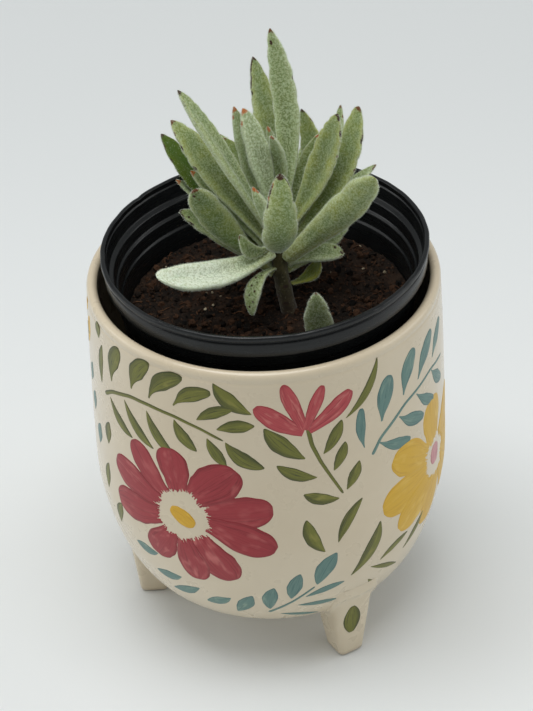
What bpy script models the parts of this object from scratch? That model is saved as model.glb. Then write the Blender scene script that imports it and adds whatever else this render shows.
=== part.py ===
"""A potted kalanchoe: a young felted succulent in a black plastic nursery pot, which stands
loose inside a glazed ceramic planter on three feet.

Metres, +Z up. The origin is under the middle of the planter, on the surface that its feet stand
on. +X is to the right and -Y is the front.
"""

import math

import bmesh
import bpy
from mathutils import Matrix, Vector, noise

MM = 0.001

# ---- ceramic planter -------------------------------------------------------
PLANTER_HEIGHT = 185.0 * MM  # feet soles to the top of the lip
BELLY_RADIUS = 83.3 * MM  # widest, at BELLY_Z
BELLY_Z = 87.0 * MM
RIM_RADIUS = 81.1 * MM  # outside, at the lip
WALL = 4.9 * MM
UNDERSIDE_Z = 24.6 * MM  # the flat underside, between the feet
UNDERSIDE_RADIUS = 50.8 * MM
BOWL_DROP_POWER = 1.44  # shape of the curve from the belly to the underside
BOWL_SIDE_POWER = 2.5
FLOOR_Z = 32.6 * MM  # inside floor of the bowl

FOOT_COUNT = 3
FIRST_FOOT_DEG = -59.3  # right-front foot, measured from +X
FOOT_SOLE_OUT = 67.9 * MM  # outer edge of the sole from the axis
FOOT_SOLE_IN = 54.5 * MM
FOOT_SOLE_HALF_WIDTH = 6.4 * MM
FOOT_TOP_OUT = 73.0 * MM
FOOT_TOP_IN = 44.0 * MM
FOOT_TOP_HALF_WIDTH = 12.4 * MM
FOOT_TOP_Z = 48.0 * MM
FOOT_EDGE = 2.2 * MM

# ---- nursery pot -----------------------------------------------------------
NURSERY_HEIGHT = 166.2 * MM
NURSERY_LIP_RADIUS = 75.0 * MM
NURSERY_COLLAR = 11.4 * MM  # height of the band under the lip
NURSERY_BASE_RADIUS = 52.0 * MM
NURSERY_WALL = 1.5 * MM
NURSERY_FLOOR = 2.0 * MM
NURSERY_TILT_DEG = -1.18  # it leans a little to the left in the planter
NURSERY_RIM_CENTRE = Vector((1.1 * MM, 0.0, 200.4 * MM))
DRAIN_HOLES = 6
DRAIN_RADIUS = 4.0 * MM
DRAIN_RING = 38.0 * MM

# ---- soil ------------------------------------------------------------------
SOIL_DEPTH = 34.5 * MM  # from the nursery pot's lip down to the soil at the wall
SOIL_MOUND = 2.4 * MM  # how much higher the soil is round the stem
SOIL_LUMPS = 1.1 * MM
FIT_GAP = 0.3 * MM

ROUND_STEPS = 48

# ---- plant -----------------------------------------------------------------
# Points on the stem's middle line, x, y, z and radius in mm, from its buried end up.
STEM_LINE = (
    (13.0, -9.5, 152.0, 4.2),
    (11.4, -9.0, 166.0, 4.0),
    (8.2, -8.5, 186.0, 3.4),
    (7.0, -7.0, 200.0, 2.8),
    (7.5, -5.0, 214.0, 1.6),
)
LEAF_SIDES = 8
LEAF_RINGS = 11

# Each leaf: height of its base on the stem (mm), the compass direction it grows to (degrees from
# +X towards +Y), its rise above level (degrees), length (mm), how far its middle bows up and
# sideways (mm), how far it is turned about its own length (degrees), width and thickness (mm),
# and its outline: "lance" for a tapering point, "spoon" for a round end.
LEAVES = {
    "leaf_01": (205.7, 89.0, 69.5, 94.2, -6.2, 6.3, -15, 12.1, 4.6, "lance"),
    "leaf_02": (203.0, 98.7, 56.8, 83.8, -6.6, 3.3, 26, 13.8, 4.2, "lance"),
    "leaf_03": (207.5, -179.0, 64.1, 86.9, 1.5, -2.4, -18, 12.5, 4.6, "lance"),
    "leaf_04": (202.2, 165.3, 55.0, 75.1, 0.8, -0.8, -22, 15.1, 4.4, "lance"),
    "leaf_05": (194.9, 151.9, 44.9, 75.7, -2.2, -0.3, -10, 13.8, 4.0, "lance"),
    "leaf_06": (215.7, 150.6, 76.9, 57.2, 1.3, 0.2, -18, 12.4, 4.6, "lance"),
    "leaf_07": (205.6, 136.8, 71.6, 64.2, -5.7, 3.1, 11, 10.8, 3.6, "lance"),
    "leaf_08": (213.9, 102.8, 77.1, 44.5, -6.4, 2.7, 40, 6.8, 3.2, "lance"),
    "leaf_09": (210.0, 47.5, 94.9, 50.8, -8.5, -4.4, 5, 7.4, 3.4, "lance"),
    "leaf_10": (198.0, 72.3, 51.0, 65.2, -7.6, 9.2, -19, 13.9, 4.0, "lance"),
    "leaf_11": (207.5, 6.8, 66.6, 65.5, -4.4, -3.4, 32, 15.1, 4.6, "lance"),
    "leaf_12": (199.8, 21.9, 59.3, 75.0, -5.8, 3.3, 18, 14.5, 4.4, "spoon"),
    "leaf_13": (205.0, 48.4, 48.0, 65.5, -4.4, 5.6, -15, 10.0, 3.6, "lance"),
    "leaf_14": (196.3, 29.8, 32.0, 58.4, 1.9, -0.3, -13, 9.5, 3.6, "lance"),
    "leaf_15": (197.0, -23.1, 50.0, 67.1, -2.4, -4.8, -82, 15.4, 6.0, "spoon"),
    "leaf_16": (201.1, -84.1, 71.8, 54.4, -13.6, 1.2, 13, 16.4, 6.0, "oval"),
    "leaf_17": (200.9, -148.1, 9.9, 61.0, -6.0, -0.0, -23, 15.2, 6.0, "spoon"),
    "leaf_18": (190.4, -164.0, 56.5, 61.8, -3.5, 6.4, 67, 15.0, 6.0, "spoon"),
    "leaf_19": (192.4, 161.1, 41.5, 58.4, -3.5, 7.2, 2, 8.9, 3.6, "lance"),
    "leaf_20": (198.3, 161.7, 47.0, 52.8, -0.3, 1.0, -3, 9.9, 3.8, "lance"),
    "leaf_21": (187.6, 168.6, 37.0, 51.9, -1.6, 5.6, -12, 12.5, 4.0, "lance"),
    "leaf_22": (204.0, -150.0, 33.0, 20.0, -5.0, -1.0, -70, 8.0, 2.8, "spoon"),
    "leaf_23": (193.3, -123.7, -33.0, 24.7, 6.8, 1.4, 0, 8.5, 3.4, "spoon"),
    "leaf_24": (192.6, 17.6, -1.1, 27.0, 2.4, 0.7, 15, 10.6, 4.0, "spoon"),
    "leaf_25": (182.4, 8.8, 36.2, 16.6, -4.9, -3.8, 21, 8.0, 3.4, "lance"),
    "leaf_26": (207.2, -131.4, 70.0, 36.3, -2.7, -4.9, 6, 8.1, 3.4, "lance"),
    "leaf_27": (200.7, 122.1, 44.4, 54.8, -4.2, 6.2, 5, 14.0, 4.0, "lance"),
    "leaf_28": (202.0, 50.3, 55.7, 52.2, -4.8, -4.2, 14, 8.9, 3.4, "lance"),
    "leaf_29": (197.7, 116.0, 32.5, 63.9, -3.1, 0.9, -8, 14.0, 4.2, "lance"),
    "leaf_30": (194.8, 71.5, 29.5, 63.4, -1.3, -0.1, 4, 14.0, 4.2, "lance"),
    "leaf_31": (188.9, 94.7, 14.0, 46.2, -2.3, -0.0, 17, 12.0, 4.0, "lance"),
    "leaf_32": (187.8, 43.5, 11.5, 41.3, -1.6, -0.0, 15, 11.0, 3.8, "lance"),
}

# The loose leaf that stands in the soil: base and tip in mm, turn, width and thickness.
FALLEN_LEAF = ((24.5, -26.5, 160.0), (23.0, -28.5, 191.0), 0.0, 12.5, 4.0)


# ---- helpers ---------------------------------------------------------------
for leftover in list(bpy.data.objects):
    bpy.data.objects.remove(leftover, do_unlink=True)

kalanchoe = bpy.data.collections.new("potted_kalanchoe")
bpy.context.scene.collection.children.link(kalanchoe)
cutters = bpy.data.collections.new("cutters")
bpy.context.scene.collection.children.link(cutters)


def make_material(name, colour, roughness, metallic=0.0):
    material = bpy.data.materials.new(name)
    material.use_nodes = True
    shader = material.node_tree.nodes["Principled BSDF"]
    shader.inputs["Base Color"].default_value = (*colour, 1.0)
    shader.inputs["Roughness"].default_value = roughness
    shader.inputs["Metallic"].default_value = metallic
    material.diffuse_color = (*colour, 1.0)
    return material


def add_object(name, mesh, collection=kalanchoe):
    obj = bpy.data.objects.new(name, mesh)
    collection.objects.link(obj)
    if collection is cutters:
        obj.hide_render = True
        obj.display_type = "WIRE"
    return obj


def smooth(mesh, angle_deg=40.0):
    mesh.shade_smooth()
    mesh.set_sharp_from_angle(angle=math.radians(angle_deg))


def turned(name, profile, steps=ROUND_STEPS, collection=kalanchoe):
    """A profile of (radius, height) points turned about Z by a Screw modifier."""
    mesh = bpy.data.meshes.new(name)
    points = [(r, 0.0, z) for r, z in profile]
    closed = profile[0][0] > 0.0  # a ring section closes on itself, a solid one ends on the axis
    count = len(points)
    edges = [(i, (i + 1) % count) for i in range(count if closed else count - 1)]
    mesh.from_pydata(points, edges, [])
    obj = add_object(name, mesh, collection)
    screw = obj.modifiers.new("turn", "SCREW")
    screw.axis = "Z"
    screw.steps = steps
    screw.render_steps = steps
    screw.use_merge_vertices = True
    screw.merge_threshold = 0.00001
    return obj


def to_mesh(obj):
    """Applies the modifiers and keeps the result as the object's own mesh."""
    graph = bpy.context.evaluated_depsgraph_get()
    mesh = bpy.data.meshes.new_from_object(obj.evaluated_get(graph))
    obj.modifiers.clear()
    obj.data = mesh
    return obj


def boolean(obj, other, operation):
    step = obj.modifiers.new(f"{operation.lower()}_{other.name}", "BOOLEAN")
    step.operation = operation
    step.solver = "EXACT"
    step.object = other


# ---- ceramic planter -------------------------------------------------------
def bowl_radius(z):
    """Outside radius of the bowl at height z."""
    if z >= BELLY_Z:
        t = (z - BELLY_Z) / (PLANTER_HEIGHT - BELLY_Z)
        return BELLY_RADIUS - (BELLY_RADIUS - RIM_RADIUS) * t * t
    u = (BELLY_Z - z) / (BELLY_Z - UNDERSIDE_Z)
    side = max(1.0 - u**BOWL_DROP_POWER, 0.0) ** (1.0 / BOWL_SIDE_POWER)
    return UNDERSIDE_RADIUS + (BELLY_RADIUS - UNDERSIDE_RADIUS) * side


def bowl_outside():
    lip = WALL / 2
    profile = [(0.0, PLANTER_HEIGHT)]
    for i in range(5):  # the rounded lip, outer half
        a = math.pi / 2 * (1 - i / 4)
        profile.append((RIM_RADIUS - lip + lip * math.cos(a), PLANTER_HEIGHT - lip + lip * math.sin(a)))
    for i in range(1, 5):
        z = PLANTER_HEIGHT - lip - (PLANTER_HEIGHT - lip - BELLY_Z) * i / 4
        profile.append((bowl_radius(z), z))
    for i in range(1, 12):
        z = UNDERSIDE_Z + (BELLY_Z - UNDERSIDE_Z) * math.cos(math.pi / 2 * i / 11)
        profile.append((bowl_radius(z), z))
    profile.append((0.0, UNDERSIDE_Z))
    return profile


def bowl_inside():
    lip = WALL / 2
    middle = RIM_RADIUS - lip
    profile = [(0.0, PLANTER_HEIGHT + 0.01), (middle, PLANTER_HEIGHT + 0.01), (middle, PLANTER_HEIGHT)]
    for i in range(1, 4):  # the rounded lip, inner half
        a = math.pi / 2 * i / 3
        profile.append((middle - lip * math.sin(a), PLANTER_HEIGHT - lip + lip * math.cos(a)))
    for i in range(1, 4):
        z = PLANTER_HEIGHT - lip - (PLANTER_HEIGHT - lip - BELLY_Z) * i / 3
        profile.append((bowl_radius(z) - WALL, z))
    for i in range(1, 8):
        z = FLOOR_Z + (BELLY_Z - FLOOR_Z) * math.cos(math.pi / 2 * i / 7)
        profile.append((bowl_radius(z) - WALL, z))
    profile.append((0.0, FLOOR_Z))
    return profile


def make_foot(index):
    bpy.ops.mesh.primitive_cube_add(size=1.0)
    foot = bpy.context.active_object
    foot.name = f"foot_block_{index + 1}"
    for vert in foot.data.vertices:
        top = vert.co.z > 0
        out = vert.co.x > 0
        side = 1.0 if vert.co.y > 0 else -1.0
        radius = (FOOT_TOP_OUT if out else FOOT_TOP_IN) if top else (FOOT_SOLE_OUT if out else FOOT_SOLE_IN)
        half = FOOT_TOP_HALF_WIDTH if top else FOOT_SOLE_HALF_WIDTH
        vert.co = (radius, side * half, FOOT_TOP_Z if top else 0.0)
    bevel = foot.modifiers.new("soft_edges", "BEVEL")
    bevel.width = FOOT_EDGE
    bevel.segments = 2
    foot.rotation_euler.z = math.radians(FIRST_FOOT_DEG + 360.0 / FOOT_COUNT * index)
    for collection in list(foot.users_collection):
        collection.objects.unlink(foot)
    cutters.objects.link(foot)
    foot.hide_render = True
    foot.display_type = "WIRE"
    return foot


planter = turned("ceramic_planter", bowl_outside())
for foot_index in range(FOOT_COUNT):
    boolean(planter, make_foot(foot_index), "UNION")
boolean(planter, turned("planter_hollow", bowl_inside(), collection=cutters), "DIFFERENCE")
planter.data.materials.append(make_material("cream_glaze", (0.62, 0.55, 0.42), 0.28))
to_mesh(planter)
smooth(planter.data)


# ---- nursery pot -----------------------------------------------------------
# Heights in this section are measured from the nursery pot's own base.
COLLAR_RADIUS = 74.2 * MM
BODY_TOP_RADIUS = 70.9 * MM
# Depth under the lip and inside radius of each ring step in the upper wall, in mm.
INNER_STEPS = ((3.0, 72.9), (3.6, 72.3), (10.4, 71.9), (11.6, 69.6), (17.0, 69.2), (18.0, 67.9), (24.0, 67.5), (25.0, 66.5))


def nursery_inside(z):
    """Inside radius of the tapering body at height z."""
    top = NURSERY_HEIGHT - 25.0 * MM
    t = (z - NURSERY_FLOOR) / (top - NURSERY_FLOOR)
    return (NURSERY_BASE_RADIUS - NURSERY_WALL) + (66.5 * MM - (NURSERY_BASE_RADIUS - NURSERY_WALL)) * t


def nursery_profile():
    h = NURSERY_HEIGHT
    outer = [
        (73.7 * MM, h),
        (74.6 * MM, h - 0.25 * MM),
        (NURSERY_LIP_RADIUS, h - 0.9 * MM),
        (NURSERY_LIP_RADIUS, h - 2.3 * MM),
        (74.5 * MM, h - 2.9 * MM),
        (73.4 * MM, h - 3.2 * MM),
        (73.4 * MM, h - 4.2 * MM),
        (COLLAR_RADIUS, h - 4.6 * MM),
        (COLLAR_RADIUS - 0.3 * MM, h - NURSERY_COLLAR + 0.4 * MM),
        (COLLAR_RADIUS - 0.8 * MM, h - NURSERY_COLLAR),
        (BODY_TOP_RADIUS, h - NURSERY_COLLAR - 0.6 * MM),
        (70.6 * MM, h - 18.2 * MM),
        (69.4 * MM, h - 19.2 * MM),
        (69.0 * MM, h - 25.2 * MM),
        (68.1 * MM, h - 26.2 * MM),
        (NURSERY_BASE_RADIUS + 0.4 * MM, 1.2 * MM),
        (NURSERY_BASE_RADIUS - 0.8 * MM, 0.0),
    ]
    inner = [(0.0, NURSERY_FLOOR)]
    inner += [(nursery_inside(NURSERY_FLOOR) - 1.0 * MM, NURSERY_FLOOR), (nursery_inside(NURSERY_FLOOR), NURSERY_FLOOR + 1.0 * MM)]
    inner += [(r * MM, h - d * MM) for d, r in reversed(INNER_STEPS)]
    inner += [(72.7 * MM, h - 0.7 * MM), (73.0 * MM, h - 0.2 * MM)]
    return inner + outer + [(0.0, 0.0)]


nursery_tilt = Matrix.Rotation(math.radians(NURSERY_TILT_DEG), 4, "Y")
nursery_place = Matrix.Translation(NURSERY_RIM_CENTRE) @ nursery_tilt @ Matrix.Translation((0.0, 0.0, -NURSERY_HEIGHT))

nursery = turned("nursery_pot", nursery_profile())
for hole_index in range(DRAIN_HOLES):
    angle = 2 * math.pi * hole_index / DRAIN_HOLES
    bpy.ops.mesh.primitive_cylinder_add(
        vertices=12, radius=DRAIN_RADIUS, depth=12 * MM, location=(DRAIN_RING * math.cos(angle), DRAIN_RING * math.sin(angle), 0.0)
    )
    drill = bpy.context.active_object
    drill.name = f"drain_drill_{hole_index + 1}"
    for collection in list(drill.users_collection):
        collection.objects.unlink(drill)
    cutters.objects.link(drill)
    drill.hide_render = True
    drill.display_type = "WIRE"
    boolean(nursery, drill, "DIFFERENCE")
nursery.data.materials.append(make_material("black_plastic", (0.02, 0.021, 0.023), 0.42))
to_mesh(nursery)
nursery.matrix_world = nursery_place
smooth(nursery.data)


# ---- plant shapes ----------------------------------------------------------
def stem_at(z):
    """Middle of the stem and its radius at height z (all in mm)."""
    line = STEM_LINE
    z = min(max(z, line[0][2]), line[-1][2])
    for low, high in zip(line, line[1:]):
        if z <= high[2]:
            t = (z - low[2]) / (high[2] - low[2])
            return Vector((low[0] + (high[0] - low[0]) * t, low[1] + (high[1] - low[1]) * t, z)), low[3] + (high[3] - low[3]) * t
    return Vector(line[-1][:3]), line[-1][3]


# Share of the width at the base, where the leaf is widest, and how blunt its tip is.
OUTLINES = {"lance": (0.26, 0.62, 0.75), "spoon": (0.26, 0.64, 0.58), "oval": (0.26, 0.5, 0.62), "broad": (0.6, 0.42, 0.8)}


def half_width(s, kind):
    """Share of the leaf's half width at s, from 0 at the base to 1 at the tip."""
    base, widest, sharp = OUTLINES[kind]
    if s < widest:
        u = s / widest
        return base + (1 - base) * u * u * (3 - 2 * u)
    return max(1.0 - ((s - widest) / (1 - widest)) ** 2.4, 0.0) ** sharp


def half_thickness(s):
    if s < 0.5:
        return 0.62 + 0.38 * s / 0.5
    return max(1.0 - ((s - 0.5) / 0.5) ** 3, 0.0) ** 0.6


def leaf_mesh(name, base, along, up, side, length, bow, sway, turn, width, thickness, kind, grow=0.0, dish=0.16):
    """A thick leaf: a UV sphere whose rings are carried along the leaf's middle line."""
    turn = math.radians(turn)
    flat = (side * math.cos(turn) - up * math.sin(turn)).normalized()
    face = (up * math.cos(turn) + side * math.sin(turn)).normalized()
    shape = bmesh.new()
    bmesh.ops.create_uvsphere(shape, u_segments=LEAF_SIDES, v_segments=LEAF_RINGS, radius=1.0)
    for vert in shape.verts:
        polar = math.acos(max(-1.0, min(1.0, vert.co.z)))
        s = (1 - math.cos(math.pi - polar)) / 2
        ring = math.hypot(vert.co.x, vert.co.y)
        across, through = (vert.co.x / ring, vert.co.y / ring) if ring > 1e-6 else (0.0, 0.0)
        w = width / 2 * half_width(s, kind) + grow
        t = thickness / 2 * half_thickness(s) + grow
        hump = 4 * s * (1 - s)
        middle = base + along * (s * length) + up * (hump * bow) + side * (hump * sway)
        if ring < 1e-6:
            middle += along * (grow if s > 0.5 else -grow)
        rise = dish * w * across * across
        vert.co = (middle + flat * (w * across) + face * (t * through + rise)) * MM
    shape.normal_update()
    bmesh.ops.recalc_face_normals(shape, faces=shape.faces)
    mesh = bpy.data.meshes.new(name)
    shape.to_mesh(mesh)
    shape.free()
    mesh.shade_smooth()
    return mesh


def stem_leaf(name, row, grow=0.0):
    height, heading, rise, length, bow, sway, turn, width, thickness, kind = row
    a, e = math.radians(heading), math.radians(rise)
    along = Vector((math.cos(a) * math.cos(e), math.sin(a) * math.cos(e), math.sin(e)))
    up = Vector((-math.cos(a) * math.sin(e), -math.sin(a) * math.sin(e), math.cos(e)))
    side = along.cross(up)
    middle, radius = stem_at(height)
    base = middle + Vector((math.cos(a), math.sin(a), 0.0)) * (radius + 0.75)
    return leaf_mesh(name, base, along, up, side, length, bow, sway, turn, width, thickness, kind, grow)


def fallen_leaf_mesh(name, grow=0.0):
    foot, tip, turn, width, thickness = FALLEN_LEAF
    base = Vector(foot)
    along = Vector(tip) - base
    length = along.length
    along.normalize()
    side = along.cross(Vector((0.0, -1.0, 0.0))).normalized()
    up = side.cross(along)
    return leaf_mesh(name, base, along, up, side, length, 0.0, 0.0, turn, width, thickness, "broad", grow)


def stem_mesh(name, grow=0.0):
    """The stem: a UV sphere drawn out along the stem's line."""
    low, high = STEM_LINE[0][2], STEM_LINE[-1][2]
    shape = bmesh.new()
    bmesh.ops.create_uvsphere(shape, u_segments=10, v_segments=14, radius=1.0)
    for vert in shape.verts:
        polar = math.acos(max(-1.0, min(1.0, vert.co.z)))
        s = 1 - polar / math.pi
        middle, radius = stem_at(low + (high - low) * s)
        ring = math.hypot(vert.co.x, vert.co.y)
        if ring > 1e-6:
            blunt = min(1.0, 3.2 * min(s, 1 - s) / 0.14) ** 0.5
            r = radius * max(blunt, 0.4) + grow
            vert.co = (middle + Vector((vert.co.x / ring * r, vert.co.y / ring * r, 0.0))) * MM
        else:
            end = grow if s > 0.5 else -grow
            vert.co = (middle + Vector((0.0, 0.0, end))) * MM
    mesh = bpy.data.meshes.new(name)
    shape.to_mesh(mesh)
    shape.free()
    mesh.shade_smooth()
    return mesh


stem = add_object("stem", stem_mesh("stem"))
stem.data.materials.append(make_material("stem_green_brown", (0.13, 0.12, 0.06), 0.8))

for leaf_name, leaf_row in LEAVES.items():
    leaf = add_object(leaf_name, stem_leaf(leaf_name, leaf_row))
    leaf.data.materials.append(make_material(f"{leaf_name}_felt", (0.36, 0.42, 0.31), 0.85))

fallen = add_object("fallen_leaf", fallen_leaf_mesh("fallen_leaf"))
fallen.data.materials.append(make_material("fallen_leaf_felt", (0.33, 0.38, 0.27), 0.85))


# ---- soil ------------------------------------------------------------------
def soil_profile():
    top = NURSERY_HEIGHT - SOIL_DEPTH
    bottom = NURSERY_FLOOR + FIT_GAP
    profile = []
    for i in range(8):
        r = i / 7
        profile.append((r * (nursery_inside(top) - FIT_GAP - 0.2 * MM), top + SOIL_MOUND * (1 - r * r)))
    profile.append((nursery_inside(top - 3 * MM) - FIT_GAP - 0.1 * MM, top - 3 * MM))
    profile.append((nursery_inside(bottom + 3 * MM) - FIT_GAP - 0.1 * MM, bottom + 3 * MM))
    profile.append((nursery_inside(bottom) - 3 * MM, bottom))
    profile.append((0.0, bottom))
    return profile


soil = turned("soil", soil_profile(), steps=36)
to_mesh(soil)
soil_top = NURSERY_HEIGHT - SOIL_DEPTH
for vert in soil.data.vertices:
    radius = math.hypot(vert.co.x, vert.co.y)
    if vert.co.z > soil_top - 0.5 * MM:
        calm = max(0.0, min(1.0, (62 * MM - radius) / (6 * MM)))
        vert.co.z += SOIL_LUMPS * calm * noise.noise(Vector((vert.co.x * 90, vert.co.y * 90, 3.7)))
soil.matrix_world = nursery_place
soil.data.transform(nursery_place)
soil.matrix_world = Matrix.Identity(4)
boolean(soil, add_object("stem_socket", stem_mesh("stem_socket", grow=0.3), cutters), "DIFFERENCE")
boolean(soil, add_object("leaf_slot", fallen_leaf_mesh("leaf_slot", grow=0.3), cutters), "DIFFERENCE")
soil.data.materials.append(make_material("potting_mix", (0.035, 0.022, 0.015), 0.95))
bpy.context.view_layer.update()
to_mesh(soil)
smooth(soil.data)
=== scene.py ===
import bpy
import math
import numpy as np
from mathutils import Matrix, Vector, noise


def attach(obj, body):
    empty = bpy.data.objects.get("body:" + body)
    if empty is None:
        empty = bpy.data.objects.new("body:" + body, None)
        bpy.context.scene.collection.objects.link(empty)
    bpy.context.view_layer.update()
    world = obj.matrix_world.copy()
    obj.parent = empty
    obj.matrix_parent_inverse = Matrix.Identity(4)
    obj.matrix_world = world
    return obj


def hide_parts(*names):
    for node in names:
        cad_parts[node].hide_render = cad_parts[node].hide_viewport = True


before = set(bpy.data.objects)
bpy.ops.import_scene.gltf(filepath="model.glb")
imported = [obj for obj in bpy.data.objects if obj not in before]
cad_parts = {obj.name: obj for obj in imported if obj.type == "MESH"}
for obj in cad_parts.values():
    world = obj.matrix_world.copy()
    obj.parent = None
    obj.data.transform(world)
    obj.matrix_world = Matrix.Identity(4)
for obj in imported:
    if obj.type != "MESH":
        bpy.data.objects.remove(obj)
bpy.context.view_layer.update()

MM = 0.001
rng = np.random.default_rng(11)


# ============================================================ mesh helpers
def add_mesh(name, points, faces, attributes=None, sharp_deg=None, smooth=True):
    mesh = bpy.data.meshes.new(name)
    mesh.from_pydata([tuple(p) for p in (np.asarray(points, float) * MM).tolist()], [], faces)
    mesh.validate()
    for key, values in (attributes or {}).items():
        values = np.asarray(values, np.float32)
        if values.ndim == 2:
            layer = mesh.attributes.new(key, "FLOAT_VECTOR", "POINT")
            layer.data.foreach_set("vector", values.ravel())
        else:
            layer = mesh.attributes.new(key, "FLOAT", "POINT")
            layer.data.foreach_set("value", values)
    if smooth:
        mesh.shade_smooth()
        if sharp_deg:
            mesh.set_sharp_from_angle(angle=math.radians(sharp_deg))
    obj = bpy.data.objects.new(name, mesh)
    bpy.context.scene.collection.objects.link(obj)
    return obj


class Parts:
    """Collects several closed shapes into one mesh."""

    def __init__(self):
        self.points, self.faces, self.attrs, self.count = [], [], {}, 0

    def add(self, points, faces, **attrs):
        points = np.asarray(points, float)
        self.points.append(points)
        self.faces += [tuple(int(i) + self.count for i in f) for f in faces]
        for key, value in attrs.items():
            value = np.asarray(value, float)
            if value.ndim == 0:
                value = np.full(len(points), float(value))
            self.attrs.setdefault(key, []).append(value)
        self.count += len(points)

    def build(self, name, **kw):
        attrs = {k: np.concatenate(v) for k, v in self.attrs.items()}
        return add_mesh(name, np.concatenate(self.points), self.faces, attrs, **kw)


def smoothstep(x, a=0.0, b=1.0):
    x = np.clip((np.asarray(x, float) - a) / (b - a), 0, 1)
    return x * x * (3 - 2 * x)


def lathe(profile, segments, closed=True, shift=None):
    """(points, faces) of a profile [(r, z)] turned about Z. A closed profile makes a ring; else its ends lie on the axis."""
    profile = np.asarray(profile, float)
    angles = np.arange(segments) * 2 * math.pi / segments
    rows = profile if closed else profile[1:-1]
    n = len(rows)
    points = np.stack([rows[:, None, 0] * np.cos(angles), rows[:, None, 0] * np.sin(angles), np.repeat(rows[:, 1:2], segments, 1)], -1)
    if shift is not None:
        points = shift(points, rows, angles)
    points = points.reshape(-1, 3)
    faces = []
    for i in range(n if closed else n - 1):
        j = (i + 1) % n
        for k in range(segments):
            m = (k + 1) % segments
            faces.append((i * segments + k, i * segments + m, j * segments + m, j * segments + k))
    if not closed:
        points = np.vstack([points, [0, 0, profile[0, 1]], [0, 0, profile[-1, 1]]])
        a, b = n * segments, n * segments + 1
        for k in range(segments):
            m = (k + 1) % segments
            faces.append((a, m, k))
            faces.append((b, (n - 1) * segments + k, (n - 1) * segments + m))
    return points, faces


def face_out(obj):
    """Turns every face to look out of its own closed shape."""
    import bmesh
    shape = bmesh.new()
    shape.from_mesh(obj.data)
    bmesh.ops.recalc_face_normals(shape, faces=shape.faces)
    shape.to_mesh(obj.data)
    shape.free()


# ============================================================ material helpers
def linear(r, g, b):
    return tuple(c / 255 / 12.92 if c <= 10.3 else ((c / 255 + 0.055) / 1.055) ** 2.4 for c in (r, g, b)) + (1.0,)


class Material:
    def __init__(self, name, roughness=0.5, specular=0.5, **sockets):
        self.data = bpy.data.materials.new(name)
        self.data.use_nodes = True
        self.tree = self.data.node_tree
        self.shader = self.tree.nodes["Principled BSDF"]
        self.shader.inputs["Roughness"].default_value = roughness
        self.shader.inputs["Specular IOR Level"].default_value = specular
        for key, value in sockets.items():
            self.shader.inputs[key.replace("_", " ")].default_value = value

    def node(self, kind, **settings):
        made = self.tree.nodes.new(kind)
        for key, value in settings.items():
            setattr(made, key, value)
        return made

    def put(self, socket, value):
        if isinstance(value, bpy.types.NodeSocket):
            self.tree.links.new(value, socket)
        else:
            socket.default_value = value

    def place(self):
        return self.node("ShaderNodeTexCoord").outputs["Object"]

    def attr(self, name, output="Fac"):
        return self.node("ShaderNodeAttribute", attribute_name=name).outputs[output]

    def split(self, vector):
        made = self.node("ShaderNodeSeparateXYZ")
        self.put(made.inputs[0], vector)
        return made.outputs[0], made.outputs[1], made.outputs[2]

    def join(self, x, y, z):
        made = self.node("ShaderNodeCombineXYZ")
        for socket, value in zip(made.inputs, (x, y, z)):
            self.put(socket, value)
        return made.outputs[0]

    def noise(self, vector, scale, detail=3.0, rough=0.55, distortion=0.0):
        made = self.node("ShaderNodeTexNoise")
        self.put(made.inputs["Vector"], vector)
        made.inputs["Scale"].default_value = scale
        made.inputs["Detail"].default_value = detail
        made.inputs["Roughness"].default_value = rough
        made.inputs["Distortion"].default_value = distortion
        return made.outputs["Fac"]

    def cells(self, vector, scale, feature="F1"):
        made = self.node("ShaderNodeTexVoronoi", feature=feature)
        self.put(made.inputs["Vector"], vector)
        made.inputs["Scale"].default_value = scale
        return made.outputs["Distance"]

    def math(self, operation, a, b=0.0, c=0.0, clamp=False):
        made = self.node("ShaderNodeMath", operation=operation, use_clamp=clamp)
        for socket, value in zip(made.inputs, (a, b, c)):
            self.put(socket, value)
        return made.outputs[0]

    def band(self, value, low, high, to_low=0.0, to_high=1.0):
        made = self.node("ShaderNodeMapRange", interpolation_type="SMOOTHSTEP")
        for socket, v in zip(made.inputs, (value, low, high, to_low, to_high)):
            self.put(socket, v)
        return made.outputs[0]

    def mix(self, factor, a, b, blend="MIX"):
        made = self.node("ShaderNodeMix", data_type="RGBA", blend_type=blend)
        self.put(made.inputs["Factor"], factor)
        self.put(made.inputs["A"] if False else made.inputs[6], a)
        self.put(made.inputs[7], b)
        return made.outputs[2]

    def colour(self, value):
        self.put(self.shader.inputs["Base Color"], value)

    def rough(self, value):
        self.put(self.shader.inputs["Roughness"], value)

    def bump(self, height, distance, strength=1.0):
        made = self.node("ShaderNodeBump")
        made.inputs["Strength"].default_value = strength
        made.inputs["Distance"].default_value = distance * MM
        self.put(made.inputs["Height"], height)
        self.tree.links.new(made.outputs[0], self.shader.inputs["Normal"])


def finish_piece(obj, material, slot, *nodes):
    obj.data.materials.clear()
    obj.data.materials.append(material.data)
    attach(obj, "root")
    if nodes:
        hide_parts(*nodes)
    return obj


# ============================================================ the planter's shape
HEIGHT, BELLY_R, BELLY_Z, RIM_R, WALL = 185.0, 83.3, 87.0, 81.1, 4.9
UNDER_Z, UNDER_R, FLOOR_Z = 24.6, 50.8, 32.6


def bowl_radius(z):
    z = np.asarray(z, float)
    above = BELLY_R - (BELLY_R - RIM_R) * ((z - BELLY_Z) / (HEIGHT - BELLY_Z)) ** 2
    u = np.clip((BELLY_Z - z) / (BELLY_Z - UNDER_Z), 0, 1)
    below = UNDER_R + (BELLY_R - UNDER_R) * np.clip(1 - u ** 1.44, 0, 1) ** 0.4
    return np.where(z >= BELLY_Z, above, below)


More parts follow.
